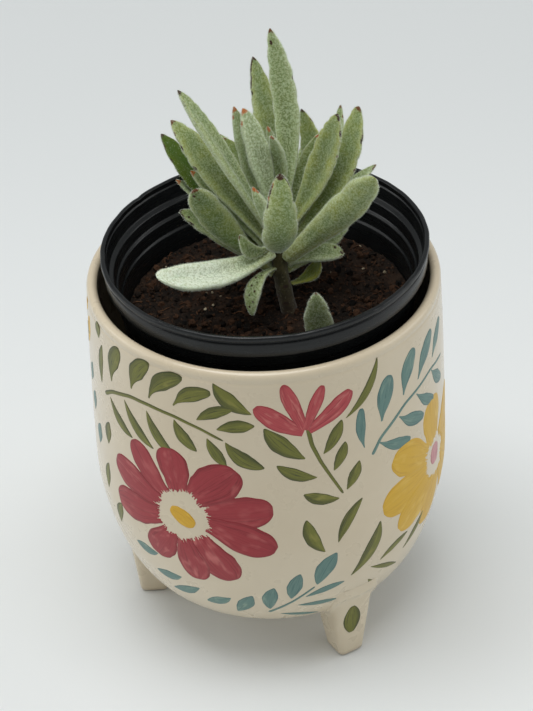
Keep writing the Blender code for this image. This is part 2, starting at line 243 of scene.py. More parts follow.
def even(points, step):
    """The same line with points an even step apart."""
    points = np.asarray(points, float)
    run = np.concatenate([[0], np.cumsum(np.hypot(*np.diff(points, axis=0).T))])
    count = max(2, int(round(run[-1] / step)) + 1)
    at = np.linspace(0, run[-1], count)
    return np.stack([np.interp(at, run, points[:, 0]), np.interp(at, run, points[:, 1])], 1)


# The outside line from the edge of the flat underside up to the lip, softened where its two
# curves meet at the belly.
raw_z = np.concatenate([UNDER_Z + (BELLY_Z - UNDER_Z) * (1 - np.cos(np.linspace(0, math.pi / 2, 300))), np.linspace(BELLY_Z, HEIGHT - WALL / 2, 200)[1:]])
OUTLINE = even(np.stack([bowl_radius(raw_z), raw_z], 1), 0.5)
kernel = np.exp(-0.5 * (np.arange(-14, 15) / 6.0) ** 2)
kernel /= kernel.sum()
soft_r = np.convolve(np.pad(OUTLINE[:, 0], 14, mode="edge"), kernel, "valid")
blend = smoothstep(OUTLINE[:, 1], 55, 70) * (1 - smoothstep(OUTLINE[:, 1], 160, 172))
OUTLINE[:, 0] = OUTLINE[:, 0] * (1 - blend) + soft_r * blend
OUT_RUN = np.concatenate([[0], np.cumsum(np.hypot(*np.diff(OUTLINE, axis=0).T))])
SLOPE = np.gradient(OUTLINE, OUT_RUN, axis=0)
SLOPE /= np.hypot(*SLOPE.T)[:, None]


def run_at(z):
    return np.interp(z, OUTLINE[:, 1], OUT_RUN)


def on_pot(theta, run, height):
    """Points on the outside at angle theta (radians) and distance run along the line, lifted by height."""
    r, z = np.interp(run, OUT_RUN, OUTLINE[:, 0]), np.interp(run, OUT_RUN, OUTLINE[:, 1])
    sr, sz = np.interp(run, OUT_RUN, SLOPE[:, 0]), np.interp(run, OUT_RUN, SLOPE[:, 1])
    r, z = r + sz * height, z - sr * height
    return np.stack([r * np.cos(theta), r * np.sin(theta), z], -1)


def make_planter():
    lip = WALL / 2
    outer = OUTLINE[::3]
    outer = np.vstack([outer, OUTLINE[-1]]) if not np.allclose(outer[-1], OUTLINE[-1]) else outer
    # a shallow turned line just under the lip
    outer = outer.copy()
    fine = np.linspace(176, HEIGHT - lip, 16)
    outer = np.vstack([outer[outer[:, 1] < 175.5], np.stack([bowl_radius(fine), fine], 1)])
    outer[:, 0] -= 0.32 * np.exp(-((outer[:, 1] - 180.2) / 0.9) ** 2)
    turn = np.linspace(0, math.pi, 15)[1:-1]
    rim = np.stack([RIM_R - lip + lip * np.cos(turn), HEIGHT - lip + lip * np.sin(turn)], 1)
    inner_z = np.concatenate([np.linspace(HEIGHT - lip, BELLY_Z, 30), FLOOR_Z + (BELLY_Z - FLOOR_Z) * np.cos(np.linspace(0, math.pi / 2, 40))[1:]])
    inner = np.stack([bowl_radius(inner_z) - WALL, inner_z], 1)
    floor_r = np.array([54, 44, 33, 22, 11.0])
    floor = np.stack([floor_r, np.full(5, FLOOR_Z)], 1)
    under_r = np.array([10, 20, 30, 40, 47.0])
    under = np.stack([under_r, np.full(5, UNDER_Z)], 1)
    profile = np.vstack([[[0, UNDER_Z]], under, outer, rim, inner, floor, [[0, FLOOR_Z]]])

    def uneven(points, rows, angles):
        # fired clay is never quite round
        lift = 0.16 * np.sin(2 * angles + 0.6) + 0.09 * np.sin(3 * angles + 2.0)
        scale = 1 - (0.10 + lift[None, :]) * 0.001 * smoothstep(rows[:, 1], 30, 120)[:, None]
        points[..., 0] *= scale
        points[..., 1] *= scale
        return points

    points, faces = lathe(profile[::-1], 240, closed=False, shift=uneven)
    whole = Parts()
    whole.add(points, faces)
    for k in range(3):
        whole.add(*foot_shape(math.radians(-59.3 + 120 * k)))
    planter = whole.build("planter_body", smooth=True)
    face_out(planter)
    planter.data.set_sharp_from_angle(angle=math.radians(38))
    return planter


def depth_in_bowl(r, z):
    """How far a point (r, z) lies outside the bowl's skin; below zero inside."""
    line = np.vstack([[[0, UNDER_Z]], OUTLINE])
    a, b = line[:-1], line[1:]
    d = b - a
    p = np.stack([r, z], -1)[..., None, :]
    t = np.clip(((p - a) * d).sum(-1) / (d * d).sum(-1), 0, 1)
    gap = np.hypot(*np.moveaxis(p - (a + t[..., None] * d), -1, 0)).min(-1)
    inside = (z > UNDER_Z) & (r < np.interp(z, OUTLINE[:, 1], OUTLINE[:, 0]))
    return np.where(inside, -gap, gap)


def foot_line(side, out, z):
    """A point of the foot's plain tapered block: side and out run from -1 to 1."""
    t = z / 48.0
    low_out, low_in, low_half = 67.9, 54.5, 6.4
    top_out, top_in, top_half = 73.0, 44.0, 12.4
    r_out, r_in = low_out + (top_out - low_out) * t, low_in + (top_in - low_in) * t
    half = low_half + (top_half - low_half) * t
    return (r_out + r_in) / 2 + (r_out - r_in) / 2 * out, half * side


def foot_shape(angle, around=64, rows=26):
    """A foot that tapers down, with soft corners, a rounded sole edge and a small fillet into the bowl."""
    ring = []
    for k in range(around):
        a = 2 * math.pi * k / around
        c, s = math.cos(a), math.sin(a)
        power = 0.36  # squarish section
        ring.append((math.copysign(abs(c) ** power, c), math.copysign(abs(s) ** power, s)))
    points = []
    for out, side in ring:
        zs = np.linspace(0, 47.9, 480)
        r, lat = foot_line(side, out, zs)
        far = depth_in_bowl(np.hypot(r, lat), zs)
        sunk = np.argmax(far < -2.4) if (far < -2.4).any() else len(zs) - 1
        meet = zs[np.argmax(far < 0)]
        row_z = np.concatenate([[0, 0.15, 0.5, 1.0, 1.6, 2.3], np.linspace(3.2, max(meet - 6, 4), rows - 16), np.linspace(meet - 5, zs[sunk], 10)])
        r, lat = foot_line(side, out, row_z)
        mid_r, _ = foot_line(0, 0, row_z)
        sole = np.sqrt(np.clip(1 - ((2.3 - np.minimum(row_z, 2.3)) / 2.3) ** 2, 0, 1))
        shrink = 2.1 * (1 - sole)
        away = np.array([out, side]) / math.hypot(out, side)
        grow = 1.9 * np.clip((row_z - (meet - 5)) / 5, 0, 1.1) ** 2 - shrink
        r, lat = r + away[0] * grow, lat + away[1] * grow
        points.append(np.stack([r, lat, row_z], 1))
    points = np.array(points)  # around x rows x 3
    n = points.shape[1]
    points = points.transpose(1, 0, 2).reshape(-1, 3)
    points = np.vstack([points, [61.2, 0, 0], [60.5, 0, 29.2]])
    faces = []
    for j in range(n - 1):
        for k in range(around):
            m = (k + 1) % around
            faces.append((j * around + k, j * around + m, (j + 1) * around + m, (j + 1) * around + k))
    base, top = n * around, n * around + 1
    for k in range(around):
        m = (k + 1) % around
        faces.append((base, m, k))
        faces.append((top, (n - 1) * around + k, (n - 1) * around + m))
    c, s = math.cos(angle), math.sin(angle)
    x, y = points[:, 0] * c - points[:, 1] * s, points[:, 0] * s + points[:, 1] * c
    return np.stack([x, y, points[:, 2]], 1), faces


# ============================================================ brush strokes on the planter
def stroke_shape(kind, t):
    """Half width share along a stroke, 0 at its start and 1 at its end."""
    if kind == "leaf":  # pointed at both ends, fuller past the middle
        return np.sin(math.pi * np.clip(t, 0, 1) ** 1.12) ** 0.82
    if kind == "drop":  # thin start, round end
        return (0.10 + 0.90 * smoothstep(t, 0, 0.55)) * np.clip(1 - np.clip((t - 0.5) / 0.5, 0, 1) ** 2.6, 0, 1) ** 0.55
    if kind == "petal":
        return (0.56 + 0.44 * smoothstep(t, 0, 0.6)) * np.clip(1 - np.clip((t - 0.58) / 0.42, 0, 1) ** 2.4, 0, 1) ** 0.52
    if kind == "oval":
        return np.sqrt(np.clip(1 - (2 * t - 1) ** 2, 0, 1))
    return np.clip(np.minimum(t / 0.04, (1 - t) / 0.06), 0, 1) ** 0.5 * (1.15 - 0.45 * t)  # stem


def add_stroke(parts, line, width, kind, layer=0, bow=0.0, rows=40, cols=13, ragged=0.0, surface=None, square=1.0):
    """One brush stroke: a thin pad of colour that lies on the glaze, its rim sunk in it. line: (degrees, height) points."""
    line = np.asarray(line, float)
    theta = np.radians(line[:, 0])
    run = run_at(line[:, 1])
    if len(line) == 2:
        t = np.linspace(0, 1, rows)
        r_mid = np.interp(run.mean(), OUT_RUN, OUTLINE[:, 0])
        du, ds = (theta[1] - theta[0]) * r_mid, run[1] - run[0]
        length = math.hypot(du, ds)
        hump = 4 * t * (1 - t) * bow * length
        th = theta[0] + (theta[1] - theta[0]) * t - ds / length * hump / r_mid
        sv = run[0] + ds * t + du / length * hump
    else:
        at = np.linspace(0, len(line) - 1, rows)
        k = np.arange(len(line))
        t = np.linspace(0, 1, rows)
        th, sv = np.interp(at, k, theta), np.interp(at, k, run)
        for _ in range(3):
            th[1:-1] = (th[:-2] + 2 * th[1:-1] + th[2:]) / 4
            sv[1:-1] = (sv[:-2] + 2 * sv[1:-1] + sv[2:]) / 4
    r = np.interp(sv, OUT_RUN, OUTLINE[:, 0])
    du, ds = np.gradient(th) * r, np.gradient(sv)
    size = np.hypot(du, ds) + 1e-9
    nu, ns = -ds / size, du / size
    seed = rng.random() * 10
    wobble = 1 + 0.03 * np.sin(t * 7 + seed * 7) + 0.012 * np.sin(t * 19 + seed * 3)
    half = width / 2 * stroke_shape(kind, np.clip(t, 0.004, 0.996)) * wobble
    lean = 0.03 * width * np.sin(t * 4 + seed)
    across = np.concatenate([[-1.05], np.linspace(-1, 1, cols), [1.05]])
    base = 0.055 + 0.028 * layer
    lift = np.concatenate([[-0.1], base + 0.05 * (1 - np.linspace(-1, 1, cols) ** 2) ** 0.5, [-0.1]])
    edge = 0.007 * width * np.sin(t[:, None] * (21 + 6 * np.sign(across)) + seed * 5 + across * 2) * np.abs(across)
    off = half[:, None] * across + lean[:, None] + edge * (half[:, None] > 0.15 * width)
    th2 = th[:, None] + nu[:, None] * off / r[:, None]
    sv2 = sv[:, None] + ns[:, None] * off
    ends = np.minimum(1, np.minimum(t, 1 - t) / 0.03)[:, None]
    rise = np.where(lift > 0, lift * ends - 0.1 * (1 - ends), lift)
    if ragged:
        worn = 0.015 + 0.055 * (0.5 + 0.5 * np.sin(across * 2.6 + seed * 9)) + ragged * 0.085 * rng.random(len(across)) ** 2.2
        first = t[:, None] < worn[None, :]
        rise = np.where(first, -0.1, rise)
    points = on_pot(th2, sv2, rise)
    n = len(across)
    flat = points.reshape(-1, 3)
    faces = []
    for i in range(rows - 1):
        for j in range(n - 1):
            faces.append((i * n + j, i * n + j + 1, (i + 1) * n + j + 1, (i + 1) * n + j))
        faces.append((i * n, (i + 1) * n, (i + 1) * n + n - 1, i * n + n - 1))
    faces.append(tuple(range(n)))
    faces.append(tuple(reversed(range((rows - 1) * n, rows * n))))
    brush = np.stack([np.repeat(t, n), np.tile(np.clip(across, -1, 1), rows), np.full(rows * n, seed)], 1)
    reach = np.repeat(half / max(width / 2, 1e-6), n)
    parts.add(flat, faces, brush=brush, reach=reach, share=rng.random())


def centre_of(points):
    points = np.asarray(points, float)
    return points.mean(0)


GREEN, BLUE, RED, SMALL_RED, YELLOW, GOLD, PINK = (Parts() for _ in range(7))


def leaf(parts, th0, z0, th1, z1, width, kind="leaf", layer=0, bow=0.06, **kw):
    add_stroke(parts, [(th0, z0), (th1, z1)], width, kind, layer, bow, **kw)


# --- the side in the photograph ---
for row in (
    (-149.0, 156.7, -143.9, 178.9, 8.6, 0.10), (-138.4, 161.3, -130.2, 180.8, 8.6, 0.10), (-130.5, 161.2, -117.5, 179.2, 8.4, 0.14),
    (-121.2, 162.5, -108.0, 174.3, 7.6, 0.12), (-95.4, 164.3, -107.2, 179.6, 8.0, 0.10), (-113.4, 158.2, -100.9, 166.5, 6.2, 0.08),
    (-106.9, 154.7, -94.7, 158.4, 6.8, 0.04), (-150.9, 147.2, -138.8, 133.7, 5.6, -0.10), (-142.3, 152.8, -129.5, 134.1, 5.9, -0.10),
    (-132.0, 154.2, -121.1, 134.5, 6.0, -0.10), (-121.1, 155.5, -113.6, 140.6, 6.6, -0.08), (-110.0, 149.5, -104.0, 134.9, 6.0, -0.06),
    (-104.2, 148.7, -92.2, 134.7, 7.8, -0.10),
):
    leaf(GREEN, *row[:5], "drop" if row[5] > 0.09 and row[2] < -107.5 else "leaf", 0, row[5])
add_stroke(GREEN, [(-154.7, 145.4), (-149.3, 151.2), (-139.0, 156.9), (-130.6, 157.9), (-121.0, 157.2), (-112.1, 153.9), (-104.2, 148.7)], 1.9, "stem", 0, rows=50, cols=5)
for row in ((-157.4, 173.5, -158.7, 184.0, 6.2), (-156.8, 149.1, -155.0, 171.8, 5.0), (-154.2, 116.6, -152.9, 130.6, 6.2), (-157.6, 87.6, -155.5, 104.1, 5.6), (-152.0, 71.4, -148.1, 87.6, 5.6)):
    leaf(GREEN, row[0], row[1], row[2], min(row[3], 181.5), row[4])
for row in ((-169.5, 138.5, -167.2, 150.4, 6.0), (-166.9, 124.0, -165.4, 136.0, 6.2), (-163.4, 108.2, -161.0, 121.3, 6.4)):
    leaf(BLUE, *row)
for row in ((-171.5, 158.0, -169.0, 174.5, 7.0), (-176.0, 172.0, -172.5, 180.5, 5.5)):
    leaf(YELLOW, *row)
# small red half flower and its sprig
for row in ((-79.4, 153.2, -94.8, 168.4, 9.4, 0.05, 0), (-79.6, 153.6, -85.5, 179.4, 7.2, 0.0, 1), (-79.2, 153.6, -73.2, 176.4, 5.8, 0.0, 2), (-79.0, 153.2, -63.8, 170.0, 8.8, -0.05, 0)):
    leaf(SMALL_RED, *row[:5], "petal", row[6], row[5], rows=48, cols=13)
for row in ((-79.4, 138.2, -91.9, 157.2, 8.6, 0.08), (-75.9, 127.0, -88.8, 136.2, 6.4, 0.08), (-68.9, 112.1, -80.8, 118.4, 6.4, 0.06), (-74.0, 139.1, -67.3, 155.4, 6.2, -0.06),
            (-70.6, 128.2, -66.6, 143.0, 5.6, -0.05), (-66.5, 115.4, -61.9, 129.8, 5.8, -0.05)):
    leaf(GREEN, *row[:5], "leaf", 0, row[5])
leaf(GREEN, -66.3, 154.9, -53.6, 180.6, 4.6, "leaf", 0, -0.10)
add_stroke(GREEN, [(-78.6, 155.4), (-77.4, 145.3), (-74.7, 135.0), (-71.0, 123.9), (-67.5, 113.6)], 1.8, "stem", 0, rows=40, cols=5)
# blue sprig, right
for row in ((-59.6, 135.1, -60.5, 157.8, 5.2, 0.05), (-52.8, 145.0, -48.7, 168.2, 9.4, 0.05), (-43.2, 151.9, -36.5, 173.1, 8.6, 0.06), (-35.0, 153.6, -24.5, 172.4, 8.4, 0.06), (-24.6, 156.0, -15.1, 170.0, 7.2, 0.06),
            (-54.6, 135.1, -39.8, 125.3, 6.0, -0.06), (-45.4, 142.6, -31.9, 131.0, 7.2, -0.06), (-36.4, 147.1, -23.9, 133.3, 5.8, -0.06), (-25.8, 150.5, -15.6, 137.0, 6.4, -0.06)):
    leaf(BLUE, *row[:5], "drop", 0, row[5])
add_stroke(BLUE, [(-57.1, 129.0), (-53.4, 137.0), (-42.4, 147.3), (-26.6, 151.8), (-14.0, 148.7)], 1.7, "stem", 0, rows=44, cols=5)
# yellow flower
for row in ((-24.8, 108.0, -26.9, 135.2, 19.0, 0, 0.0), (-28.5, 105.1, -48.8, 120.4, 18.0, 2, 0.0), (-29.5, 99.0, -53.5, 94.0, 19.0, 1, 0.0), (-27.5, 93.5, -45.4, 75.2, 19.0, 3, 0.0), (-23.4, 91.5, -29.4, 63.0, 18.0, 0, 0.0),
            (-19.0, 99.5, 5.2, 91.5, 18.5, 1, 0.0), (-19.5, 105.1, -3.2, 121.5, 18.0, 2, 0.0), (-19.6, 93.5, -7.5, 72.5, 18.0, 3, 0.0)):
    leaf(YELLOW, *row[:5], "petal", row[5], row[6], rows=48, cols=23, ragged=1.0)
add_stroke(PINK, [(-24.2, 95.4), (-24.2, 107.0)], 9.2, "oval", 1, rows=20, cols=13)
# lower greens
for row in ((-74.1, 82.5, -80.2, 103.8, 6.9, 0.08), (-70.0, 86.2, -60.9, 108.0, 5.7, 0.06), (-64.7, 60.2, -54.2, 89.8, 7.4, -0.08), (-52.8, 61.9, -40.2, 70.2, 4.6, 0.05), (-40.9, 58.2, -31.5, 74.9, 4.6, -0.06),
            (-56.7, 60.6, -41.7, 49.5, 3.4, 0.0), (-56.1, 50.8, -51.6, 42.2, 2.6, 0.0)):
    leaf(GREEN, *row[:5], "leaf", 0, row[5])
# lower blue sprig
for row in ((-93.1, 43.9, -91.2, 61.9, 7.4, 0.04), (-85.5, 52.1, -82.2, 70.6, 7.4, 0.04), (-76.7, 60.4, -70.3, 80.6, 9.2, 0.04), (-80.6, 52.3, -66.4, 57.5, 4.6, 0.05), (-83.3, 46.1, -67.5, 44.0, 3.8, 0.0), (-89.5, 39.0, -73.9, 33.6, 3.6, 0.0),
            (-132.6, 69.4, -143.4, 68.3, 6.6, 0.08), (-124.3, 58.6, -136.5, 54.9, 6.4, 0.08), (-117.8, 54.4, -131.1, 45.5, 6.0, 0.06), (-106.6, 51.7, -116.8, 44.6, 6.4, 0.06), (-105.5, 39.5, -98.6, 55.3, 7.4, 0.0)):
    leaf(BLUE, *row[:5], "leaf", 0, row[5])
add_stroke(BLUE, [(-94.0, 40.7), (-85.2, 49.4), (-77.0, 59.8)], 1.5, "stem", 0, rows=24, cols=5)
# large red flower: ten petals round a ragged white ring and a golden oval
for row in ((-125.6, 109.6, -139.0, 133.2, 14.2, 0, 0.02), (-121.6, 113.6, -123.4, 138.6, 16.6, 3, 0.0), (-116.4, 111.6, -101.6, 133.8, 20.4, 2, 0.0), (-112.4, 105.6, -90.0, 110.9, 18.4, 1, 0.03),
            (-112.6, 100.2, -89.6, 87.8, 17.4, 4, 0.03), (-114.9, 92.8, -104.4, 66.0, 18.2, 2, 0.0), (-119.8, 89.6, -116.9, 61.6, 15.4, 5, 0.0), (-124.8, 91.2, -132.6, 69.6, 16.0, 1, 0.0),
            (-127.8, 97.6, -149.6, 90.6, 17.6, 3, 0.0), (-128.0, 103.8, -149.2, 114.4, 16.6, 2, 0.0)):
    leaf(RED, *row[:5], "petal", row[5], row[6], rows=56, cols=25, ragged=1.0)
add_stroke(GOLD, [(-124.6, 103.6), (-115.6, 97.6)], 9.0, "oval", 1, rows=20, cols=13)

# --- the side away from the camera: the same motifs, carried on round the pot (a guess) ---


def flower(parts, th, z, reach, count, start, width, middle, middle_parts, layers=(0, 2, 1, 3)):
    for k in range(count):
        a = start + 2 * math.pi * k / count
        wide = reach * (1 + 0.06 * math.sin(3 * a + th))
        inner = reach * 0.34
        dt = lambda d: math.degrees(d * math.cos(a) / 82.5)
        leaf(parts, th + dt(inner), z + inner * math.sin(a), th + dt(wide), z + wide * math.sin(a), width * (1 + 0.08 * math.sin(5 * a)), "petal", layers[k % len(layers)], 0.0, rows=48, cols=23, ragged=1.0)
    add_stroke(middle_parts, [(th - math.degrees(middle / 2 / 82.5), z + 1.5), (th + math.degrees(middle / 2 / 82.5), z - 1.5)], middle * 0.9, "oval", 1, rows=20, cols=13)


def sprig(parts, line, pairs, long, width, kind="leaf", side=1):
    add_stroke(parts, line, 1.8, "stem", 0, rows=44, cols=5)
    line = np.asarray(line, float)
    for k in range(pairs):
        f = (k + 0.35) / pairs * (len(line) - 1)
        i = min(int(f), len(line) - 2)
        p = line[i] + (line[i + 1] - line[i]) * (f - i)
        d = (line[i + 1] - line[i]) * np.array([math.radians(82.5), 1.0])
        d /= np.hypot(*d)
        for s in (1, -1):
            turn = math.radians(48 + 6 * math.sin(k * 2.1)) * s * side
            v = np.array([d[0] * math.cos(turn) - d[1] * math.sin(turn), d[0] * math.sin(turn) + d[1] * math.cos(turn)])
            size = long * (1 - 0.25 * k / pairs) * (1 + 0.07 * math.sin(k * 3.3 + s))
            q0, q1 = p + v * np.array([math.degrees(2.6 / 82.5), 2.6]) * 1.0, p + v * np.array([math.degrees(size / 82.5), size])
            if q1[1] < 182:
                leaf(parts, q0[0], q0[1], q1[0], q1[1], width, kind, 0, 0.08 * s)
    end = line[-1] + (line[-1] - line[-2]) / max(np.hypot(*((line[-1] - line[-2]) * np.array([math.radians(82.5), 1.0]))), 1e-6) * long * 0.9
    if end[1] < 182:
        leaf(parts, line[-1][0], line[-1][1], end[0], end[1], width, kind)


sprig(GREEN, [(-3.0, 160.5), (10.0, 163.5), (24.0, 160.0), (38.0, 150.0)], 4, 17.0, 6.6)
flower(RED, 62.0, 104.0, 36.0, 9, 0.3, 15.5, 8.4, GOLD)
sprig(GREEN, [(93.0, 120.0), (98.0, 134.0), (101.0, 148.0), (102.0, 158.0)], 3, 16.0, 6.4)
for row in ((101.0, 160.0, 88.0, 172.0, 8.6, 0), (102.0, 160.5, 97.5, 181.0, 7.0, 1), (103.0, 160.5, 108.5, 179.0, 6.4, 2), (104.0, 160.0, 117.0, 170.0, 8.6, 0)):
    leaf(SMALL_RED, *row[:5], "petal", row[5], 0.0, rows=48, cols=13)
sprig(BLUE, [(113.0, 132.0), (119.0, 143.0), (129.0, 152.0), (141.0, 156.0)], 4, 17.0, 6.6, "drop")
flower(YELLOW, 150.0, 103.0, 34.0, 8, 0.1, 19.0, 9.0, PINK)
sprig(BLUE, [(20.0, 44.0), (31.0, 54.0), (43.0, 58.0)], 3, 14.0, 5.8)
sprig(BLUE, [(98.0, 50.0), (108.0, 60.0), (120.0, 66.0)], 3, 14.0, 5.8)
sprig(GREEN, [(100.0, 92.0), (110.0, 84.0), (119.0, 80.0)], 3, 14.0, 5.6)
sprig(GREEN, [(10.0, 124.0), (18.0, 134.0), (26.0, 138.0)], 2, 13.0, 5.6)
sprig(GREEN, [(174.0, 58.0), (178.0, 68.0), (180.0, 78.0)], 2, 11.0, 5.2)
sprig(GREEN, [(160.0, 148.0), (170.0, 158.0), (182.0, 162.0)], 3, 15.0, 6.0)
for row in ((8.0, 58.0, 14.0, 80.0, 6.4), (150.0, 46.0, 158.0, 60.0, 5.4), (76.0, 52.0, 82.0, 66.0, 6.0), (60.0, 160.0, 70.0, 176.0, 6.6), (52.0, 164.0, 48.0, 179.0, 6.2), (80.0, 158.0, 83.0, 176.0, 5.6)):
    leaf(GREEN, *row)


# Spots on the outer faces of the feet
def foot_spot(parts, angle, lat0, up0, half_w, half_l):
    rows, cols = 20, 13
    t, c = np.linspace(0.004, 0.996, rows), np.concatenate([[-1.04], np.linspace(-1, 1, cols), [1.04]])
    slope = np.array([73.0 - 67.9, 48.0]) / math.hypot(5.1, 48)
    wide = half_w * np.sin(math.pi * t) ** 0.7
    lat = lat0 + wide[:, None] * c
    up = up0 + half_l * (2 * t - 1)[:, None] + 0 * c
    ends = np.minimum(1, np.minimum(t, 1 - t) / 0.05)[:, None]
    lift = np.where(np.abs(c) > 1, -0.25, 0.10 + 0.04 * (1 - c * c)) * ends - 0.25 * (1 - ends)
    z = slope[1] * up
    r = 67.9 + slope[0] * up
    # the foot's own outer face bulges a little between its soft corners
    half = 6.4 + 6.0 * z / 48.0
    across = np.clip(np.abs(lat) / half, 0, 0.995)
    depth = (r - (54.5 - 10.5 * z / 48.0)) / 2
    fall = (1 - across ** (2 / 0.36)) ** (0.36 / 2)
    mid = r - depth
    r = mid + depth * fall + slope[1] * lift
    z = z - slope[0] * lift
    ca, sa = math.cos(angle), math.sin(angle)
    points = np.stack([r * ca - lat * sa, r * sa + lat * ca, z], -1).reshape(-1, 3)
    n = len(c)
    faces = []
    for i in range(rows - 1):
        for j in range(n - 1):
            faces.append((i * n + j, i * n + j + 1, (i + 1) * n + j + 1, (i + 1) * n + j))
        faces.append((i * n, (i + 1) * n, (i + 1) * n + n - 1, i * n + n - 1))
    faces.append(tuple(range(n)))
    faces.append(tuple(reversed(range((rows - 1) * n, rows * n))))
    seed = rng.random() * 10
    brush = np.stack([np.repeat(t, n), np.tile(np.clip(c, -1, 1), rows), np.full(rows * n, seed)], 1)
    parts.add(points, faces, brush=brush, reach=np.repeat(wide / half_w, n), share=0.2)


for k in range(3):
    foot_spot(GREEN, math.radians(-59.3 + 120 * k), -1.6 if k == 0 else 0.4, 24.6, 4.7, 9.6)


def glaze_material():
    m = Material("cream_glaze", roughness=0.24, specular=0.5, Coat_Weight=0.45, Coat_Roughness=0.11)
    p = m.place()
    cloud = m.noise(p, 22, 4, 0.6)
    fine = m.noise(p, 240, 3, 0.6)
    tone = m.mix(m.band(cloud, 0.25, 0.78), (0.660, 0.555, 0.394, 1), (0.698, 0.598, 0.437, 1))
    tone = m.mix(m.band(fine, 0.60, 0.85, 0, 0.07), tone, (0.57, 0.45, 0.29, 1))
    specks = m.cells(p, 330)
    tone = m.mix(m.band(specks, 0.09, 0.05, 0, 0.12), tone, (0.42, 0.32, 0.20, 1))
    _, _, z = m.split(p)
    # thinner glaze shows a warmer body on the soles
    tone = m.mix(m.band(z, 0.004, 0.0005), tone, (0.52, 0.42, 0.29, 1))
    m.colour(tone)
    m.rough(m.band(m.noise(p, 60, 3), 0.3, 0.75, 0.26, 0.34))
    stretched = m.node("ShaderNodeMapping")
    stretched.inputs["Scale"].default_value = (20, 20, 90)
    m.put(stretched.inputs["Vector"], p)
    wave = m.math("ADD", m.math("MULTIPLY", m.noise(stretched.outputs[0], 1.0, 2), 0.8), m.math("MULTIPLY", m.noise(p, 420, 2), 0.05))
    m.bump(wave, 0.05, 0.30)
    return m


def paint_material(name, dark, middle, light, streaks=7.0, rim=0.7, veins=False):
    m = Material(name, roughness=0.42, specular=0.38, Coat_Weight=0.10, Coat_Roughness=0.15)
    t, a, seed = m.split(m.attr("brush", "Vector"))
    share = m.attr("share")
    # bristle lines run along the stroke and fan a little with it
    lines = m.noise(m.join(m.math("MULTIPLY", t, 1.6), m.math("MULTIPLY", a, streaks), m.math("MULTIPLY", seed, 5.0)), 1.0, 4, 0.6)
    cloud = m.noise(m.join(m.math("MULTIPLY", t, 2.2), m.math("MULTIPLY", a, 1.2), seed), 1.3, 2)
    tone = m.mix(m.band(lines, 0.26, 0.54), dark, middle)
    tone = m.mix(m.math("MULTIPLY", m.band(cloud, 0.48, 0.78), m.band(share, 0.0, 1.0, 0.35, 0.9)), tone, light)
    edge = m.math("ABSOLUTE", a)
    tone = m.mix(m.band(edge, 0.80, 0.96, 0, rim), tone, dark)
    tone = m.mix(m.band(t, 0.90, 0.985, 0, rim * 0.8), tone, dark)
    if veins:
        # a dark side stroke and fine ridges, as a loaded brush leaves on a leaf
        shade = m.band(m.math("ADD", a, m.math("MULTIPLY", share, 0.5)), 0.35, 0.95, 0.0, 0.55)
        tone = m.mix(shade, tone, dark)
        ridges = m.noise(m.join(m.math("MULTIPLY", t, 22.0), m.math("MULTIPLY", a, 2.2), seed), 2.0, 3, 0.7)
        tone = m.mix(m.band(ridges, 0.58, 0.72, 0, 0.5), tone, light)
    m.colour(tone)
    m.bump(lines, 0.05, 0.6)
    return m


planter = finish_piece(make_planter(), glaze_material(), "glazed_ceramic", "ceramic_planter")
PAINTS = {
    "painted_green_leaves": (GREEN, paint_material("paint_olive", linear(52, 58, 21), linear(112, 113, 37), linear(144, 139, 62), 6, 0.75, True)),
    "painted_blue_leaves": (BLUE, paint_material("paint_teal", linear(62, 98, 98), linear(98, 132, 124), linear(144, 166, 148), 7, 0.65)),
    "painted_red_flowers": (RED, paint_material("paint_rose", linear(124, 18, 28), linear(158, 42, 50), linear(198, 106, 102), 10, 0.6)),
    "painted_small_red_flowers": (SMALL_RED, paint_material("paint_rose_light", linear(136, 26, 38), linear(184, 72, 76), linear(216, 136, 126), 10, 0.6)),
    "painted_yellow_flowers": (YELLOW, paint_material("paint_yellow", linear(200, 150, 30), linear(217, 172, 42), linear(230, 195, 92), 8, 0.22)),
    "painted_gold_centres": (GOLD, paint_material("paint_gold", linear(196, 144, 22), linear(214, 166, 34), linear(224, 180, 56), 5, 0.3)),
    "painted_pink_centres": (PINK, paint_material("paint_pink", linear(176, 104, 112), linear(204, 140, 144), linear(216, 164, 162), 5, 0.3)),
}
for paint_name, (parts, paint) in PAINTS.items():
    obj = parts.build(paint_name)
    face_out(obj)
    finish_piece(obj, paint, "glazed_ceramic")


# ============================================================ the nursery pot
NP_H = 166.2
NP_PLACE = Matrix.Translation(Vector((1.1, 0.0, 200.4))) @ Matrix.Rotation(math.radians(-1.18), 4, "Y") @ Matrix.Translation((0, 0, -NP_H))
NP_TURN = np.array(NP_PLACE)


def placed(points):
    return np.asarray(points) @ NP_TURN[:3, :3].T + NP_TURN[:3, 3]


def nursery_inside(z):
    return 50.5 + 16.0 * (z - 2.0) / (NP_H - 25.0 - 2.0)


def rounded(points, cut=0.28, passes=2):
    """Corner cutting, with long sides kept straight."""
    points = np.asarray(points, float)
    for _ in range(passes):
        out = [points[0]]
        for i in range(1, len(points) - 1):
            a, b, c = points[i - 1], points[i], points[i + 1]
            la, lc = np.hypot(*(a - b)), np.hypot(*(c - b))
            step = min(cut * la, cut * lc, 0.35)
            out += [b + (a - b) / la * step, b + (c - b) / lc * step]
        out.append(points[-1])
        points = np.array(out)
    return points


def split_long(points, most):
    out = [points[0]]
    for a, b in zip(points, points[1:]):
        n = max(1, int(math.ceil(np.hypot(*(b - a)) / most)))
        out += [a + (b - a) * k / n for k in range(1, n + 1)]
    return np.array(out)


